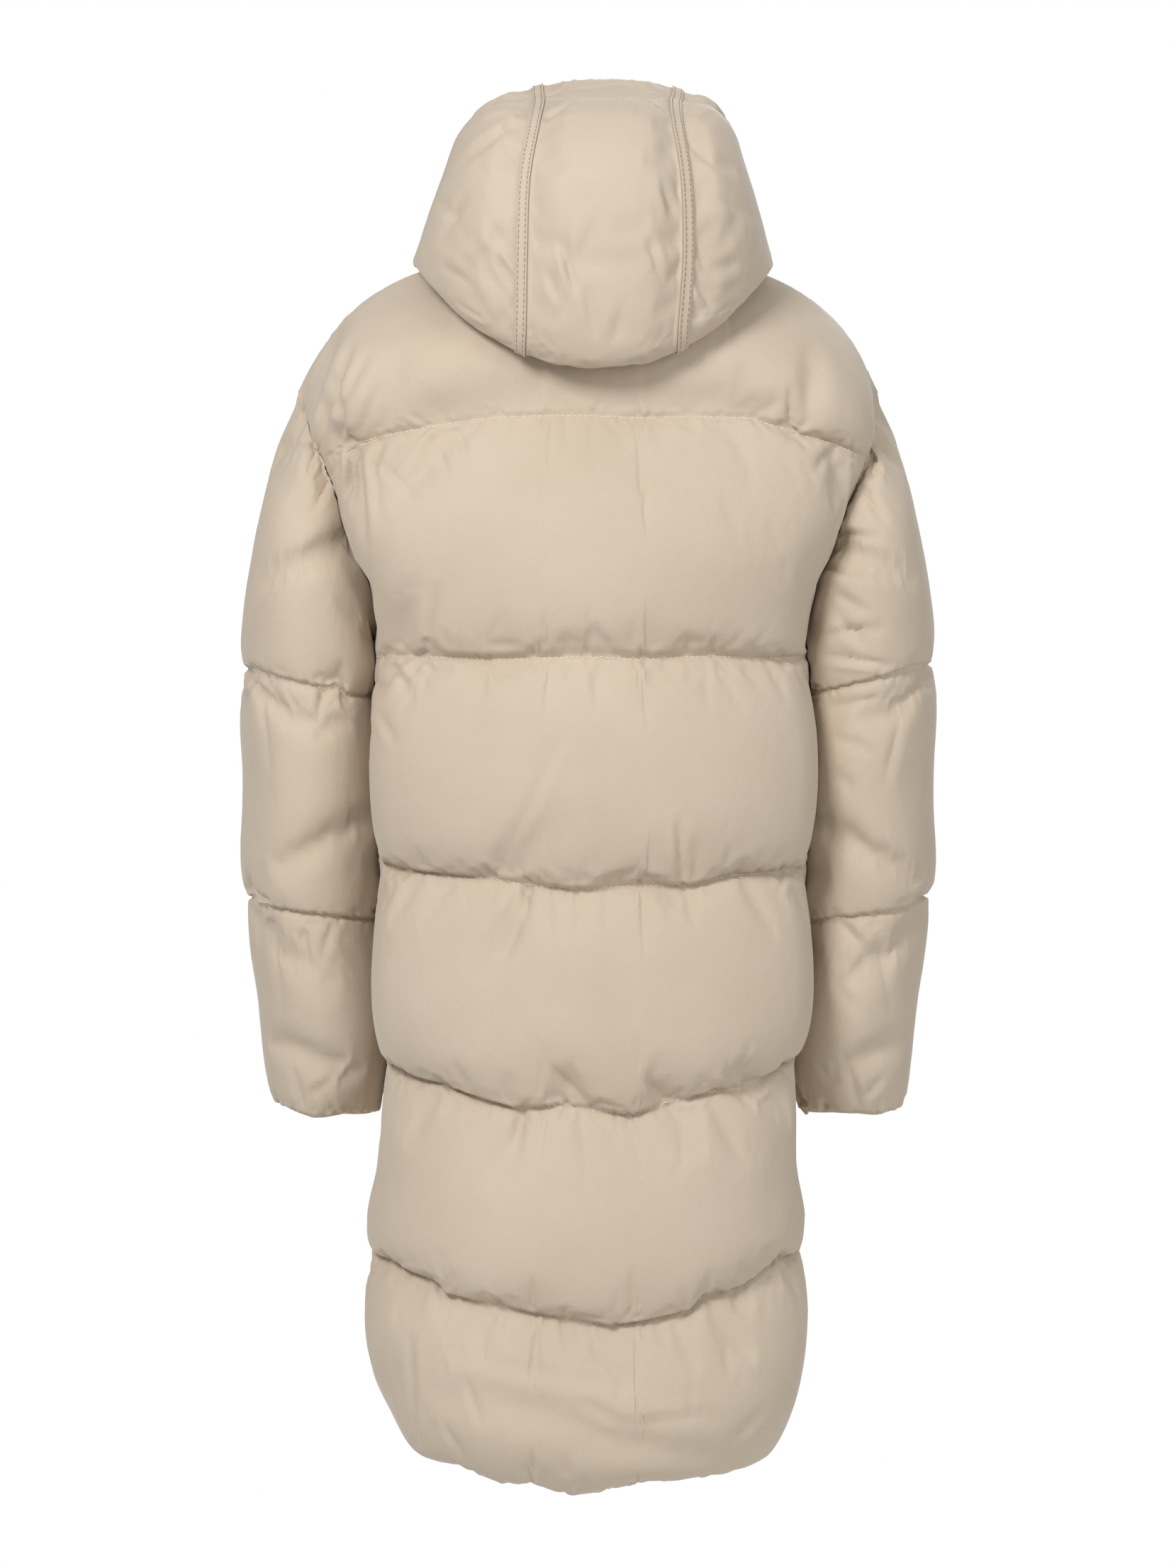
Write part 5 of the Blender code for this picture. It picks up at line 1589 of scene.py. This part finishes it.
class Nodes:
    """Builds one material's node tree, one node at a time."""

    def __init__(self, name):
        self.material = bpy.data.materials.new(name)
        self.material.use_nodes = True
        self.tree = self.material.node_tree
        self.shader = self.tree.nodes["Principled BSDF"]
        self.place = self.add("ShaderNodeTexCoord").outputs["Object"]

    def add(self, kind, inputs=(), **settings):
        """A node with its settings and its inputs, which are values or other nodes' outputs."""
        node = self.tree.nodes.new(kind)
        for name, value in settings.items():
            setattr(node, name, value)
        for name, value in dict(inputs).items():
            self.feed(node.inputs[name], value)
        return node

    def feed(self, socket, value):
        """Links another node's output to a socket, or gives it a plain value."""
        if isinstance(value, bpy.types.NodeSocket):
            self.tree.links.new(value, socket)
        else:
            socket.default_value = value

    def noise(self, scale, detail=3.0, roughness=0.5, place=None, distortion=0.0):
        """Uneven grey, from 0 to 1, at places on the coat."""
        inputs = {
            "Vector": place or self.place, "Scale": scale, "Detail": detail,
            "Roughness": roughness, "Distortion": distortion,
        }
        return self.add("ShaderNodeTexNoise", inputs).outputs["Fac"]

    def stretched(self, scale):
        """Places on the coat, stretched along each axis."""
        inputs = {"Vector": self.place, "Scale": scale}
        return self.add("ShaderNodeMapping", inputs).outputs["Vector"]

    def ramp(self, factor, *stops):
        """A colour ramp through stops, each a place and a grey level or a colour."""
        node = self.add("ShaderNodeValToRGB", {"Fac": factor})
        points = node.color_ramp.elements
        while len(points) < len(stops):
            points.new(0.5)
        for point, (place, colour) in zip(points, stops):
            point.position = place
            point.color = (*colour, 1) if isinstance(colour, tuple) else (colour, colour, colour, 1)
        return node.outputs["Color"]

    def mix(self, factor, first, second, blend="MIX"):
        """Two colours mixed. A plain colour is given as a tuple."""
        node = self.add("ShaderNodeMix", data_type="RGBA", blend_type=blend)
        sockets = [item for item in node.inputs if item.enabled]
        for socket, value in zip(sockets, (factor, first, second)):
            self.feed(socket, (*value, 1) if isinstance(value, tuple) else value)
        return next(item for item in node.outputs if item.enabled)

    def bump(self, height, distance, strength, normal=None):
        """Fine relief, distance deep, over the relief in normal."""
        inputs = {"Height": height, "Distance": distance, "Strength": strength}
        if normal:
            inputs["Normal"] = normal
        return self.add("ShaderNodeBump", inputs).outputs["Normal"]

    def finish(self, inputs):
        """Feeds the shader's inputs, and gives the material."""
        for name, value in inputs.items():
            self.feed(self.shader.inputs[name], value)
        return self.material


def shell_material():
    """Sand-beige peach-skin cloth: fine grain, small soft wrinkles and slight unevenness."""
    nodes = Nodes("shell_cloth")
    broad = nodes.noise(9.0, 4.0, 0.6)
    fine = nodes.noise(1600.0, 2.0, 0.7)
    colour = nodes.ramp(broad, (0.3, SHELL_DARK), (0.72, SHELL_LIGHT))
    colour = nodes.mix(0.35, colour, nodes.ramp(fine, (0.3, 0.72), (0.7, 1.0)), "MULTIPLY")
    stain = nodes.add("ShaderNodeVectorMath", {0: nodes.place, 1: STAIN_AT}, operation="DISTANCE")
    away = {0: stain.outputs["Value"], 1: nodes.noise(260.0, 3.0)}
    spread = nodes.add("ShaderNodeMath", away, operation="MULTIPLY")
    spot = nodes.ramp(spread.outputs[0], (0.0012, 0.55), (0.0030, 0.0))
    colour = nodes.mix(spot, colour, STAIN)
    wrinkles = nodes.noise(42.0, 4.0, 0.55, nodes.stretched((1, 1, 0.6)), 1.2)
    creased = nodes.noise(110.0, 3.0, 0.6, distortion=0.8)
    normal = nodes.bump(wrinkles, 0.0009, 0.5)
    normal = nodes.bump(creased, 0.0006, 0.5, normal)
    normal = nodes.bump(fine, 0.00012, 0.5, normal)
    rough = nodes.ramp(nodes.noise(30.0), (0.3, 0.80), (0.7, 0.92))
    return nodes.finish({
        "Base Color": colour, "Normal": normal, "Roughness": rough,
        "Sheen Weight": 0.25, "Sheen Roughness": 0.45, "Specular IOR Level": 0.25,
    })


def woven_material(name, dark, light):
    """A narrow woven tape: a fine twill of two close shades."""
    nodes = Nodes(name)
    inputs = {"Vector": nodes.place, "Scale": 900.0, "Distortion": 0.6, "Detail": 1.0}
    weave = nodes.add("ShaderNodeTexWave", inputs, bands_direction="DIAGONAL").outputs["Fac"]
    colour = nodes.ramp(weave, (0.2, dark), (0.8, light))
    broad = nodes.ramp(nodes.noise(60.0, 4.0), (0.3, 0.86), (0.7, 1.0))
    colour = nodes.mix(0.6, colour, broad, "MULTIPLY")
    normal = nodes.bump(weave, 0.00015, 0.7)
    normal = nodes.bump(nodes.noise(160.0), 0.0005, 0.4, normal)
    return nodes.finish({
        "Base Color": colour, "Normal": normal, "Roughness": 0.85,
        "Sheen Weight": 0.1, "Specular IOR Level": 0.25,
    })


def thread_material(name, dark, light):
    """Sewing thread, twisted and a little shiny."""
    nodes = Nodes(name)
    twist = nodes.noise(2600.0, 1.0)
    colour = nodes.ramp(twist, (0.3, dark), (0.7, light))
    normal = nodes.bump(twist, 0.0001, 0.4)
    return nodes.finish(
        {"Base Color": colour, "Normal": normal, "Roughness": 0.6, "Sheen Weight": 0.15}
    )


def metal_material(name, colour, worn, rough):
    """Satin metal with fine scratches, brighter where it is worn."""
    nodes = Nodes(name)
    scratches = nodes.noise(900.0, 2.0, 0.6, nodes.stretched((1, 1, 0.08)))
    wear = nodes.noise(240.0, 4.0, 0.6)
    shade = nodes.ramp(wear, (0.35, colour), (0.75, worn))
    normal = nodes.bump(scratches, 0.00004, 0.5)
    roughness = nodes.ramp(scratches, (0.3, rough), (0.7, rough + 0.14))
    return nodes.finish(
        {"Base Color": shade, "Normal": normal, "Roughness": roughness, "Metallic": 1.0}
    )


# ---------------------------------------------------------------- studio


def add_light(name, place, size, power):
    """A square white light that faces the coat's middle."""
    light = bpy.data.lights.new(name, "AREA")
    light.shape = "SQUARE"
    light.size = size
    light.energy = power
    made = linked(name, light)
    made.location = place
    made.rotation_euler = (Vector(LIT) - Vector(place)).to_track_quat("-Z", "Y").to_euler()


def make_studio():
    """White surroundings, a soft key from the upper left of the view, and a pale floor."""
    scene = bpy.context.scene
    scene.view_settings.view_transform = "Standard"
    world = bpy.data.worlds.new("studio")
    scene.world = world
    world.use_nodes = True
    tree = world.node_tree
    path, mix = tree.nodes.new("ShaderNodeLightPath"), tree.nodes.new("ShaderNodeMixShader")
    tree.links.new(path.outputs["Is Camera Ray"], mix.inputs[0])
    lighting, seen = tree.nodes["Background"], tree.nodes.new("ShaderNodeBackground")
    for number, (node, strength) in enumerate(((lighting, AMBIENT), (seen, 1.0)), 1):
        node.inputs["Color"].default_value = (1, 1, 1, 1)
        node.inputs["Strength"].default_value = strength
        tree.links.new(node.outputs[0], mix.inputs[number])
    tree.links.new(mix.outputs[0], tree.nodes["World Output"].inputs["Surface"])
    for light in LIGHTS:
        add_light(*light)
    make_floor()


def make_floor():
    """A round, pale floor, well below the hem."""
    mesh = bpy.data.meshes.new("floor")
    rim = [
        (FLOOR_WIDE * math.cos(turn), FLOOR_WIDE * math.sin(turn), FLOOR_DOWN)
        for turn in np.linspace(0, 2 * math.pi, FLOOR_SIDES + 1)[:-1]
    ]
    mesh.from_pydata(rim, [], [list(range(len(rim)))])
    nodes = Nodes("floor_paint")
    shade = nodes.ramp(nodes.noise(3.0), *zip((0.3, 0.7), FLOOR_SHADES))
    mesh.materials.append(nodes.finish({"Base Color": shade, "Roughness": 0.7}))
    linked("floor", mesh)


def make_camera():
    """Level, straight behind the coat, with the photograph's frame."""
    data = bpy.data.cameras.new("camera")
    data.sensor_fit = "VERTICAL"
    data.sensor_height = SENSOR
    data.sensor_width = SENSOR
    data.lens = SENSOR * CAMERA_FAR / (FRAME_PIXELS * PIXEL)
    camera = linked("camera", data)
    camera.location = (0, CAMERA_FAR, CAMERA_UP)
    camera.rotation_euler = (math.pi / 2, 0, math.pi)
    bpy.context.scene.camera = camera


def main():
    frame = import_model()
    make_camera()
    make_studio()
    pieces = make_surfaces()
    relax(pieces)
    clear_body(pieces)
    for piece in pieces.values():
        piece.finer(FINER[piece.kind])
    add_details(pieces)

    shell = shell_material()
    tape = woven_material("zip_tape_cloth", *TAPE_SHADES)
    metal = metal_material("slider_metal", *SLIDER_METAL)
    teeth = metal_material("teeth_metal", *TEETH_METAL)
    for piece in pieces.values():
        make_wall(piece, shell)
    make_stitches(pieces, thread_material("quilt_thread", *THREAD_SHADES))
    make_strips(pieces, shell, thread_material("strip_thread", *STRIP_THREAD_SHADES))
    make_zip(pieces, tape, teeth)
    for node in ("zip_slider", "zip_pull"):
        for place in frame["nodes"][node].material_slots:
            place.material = metal


main()
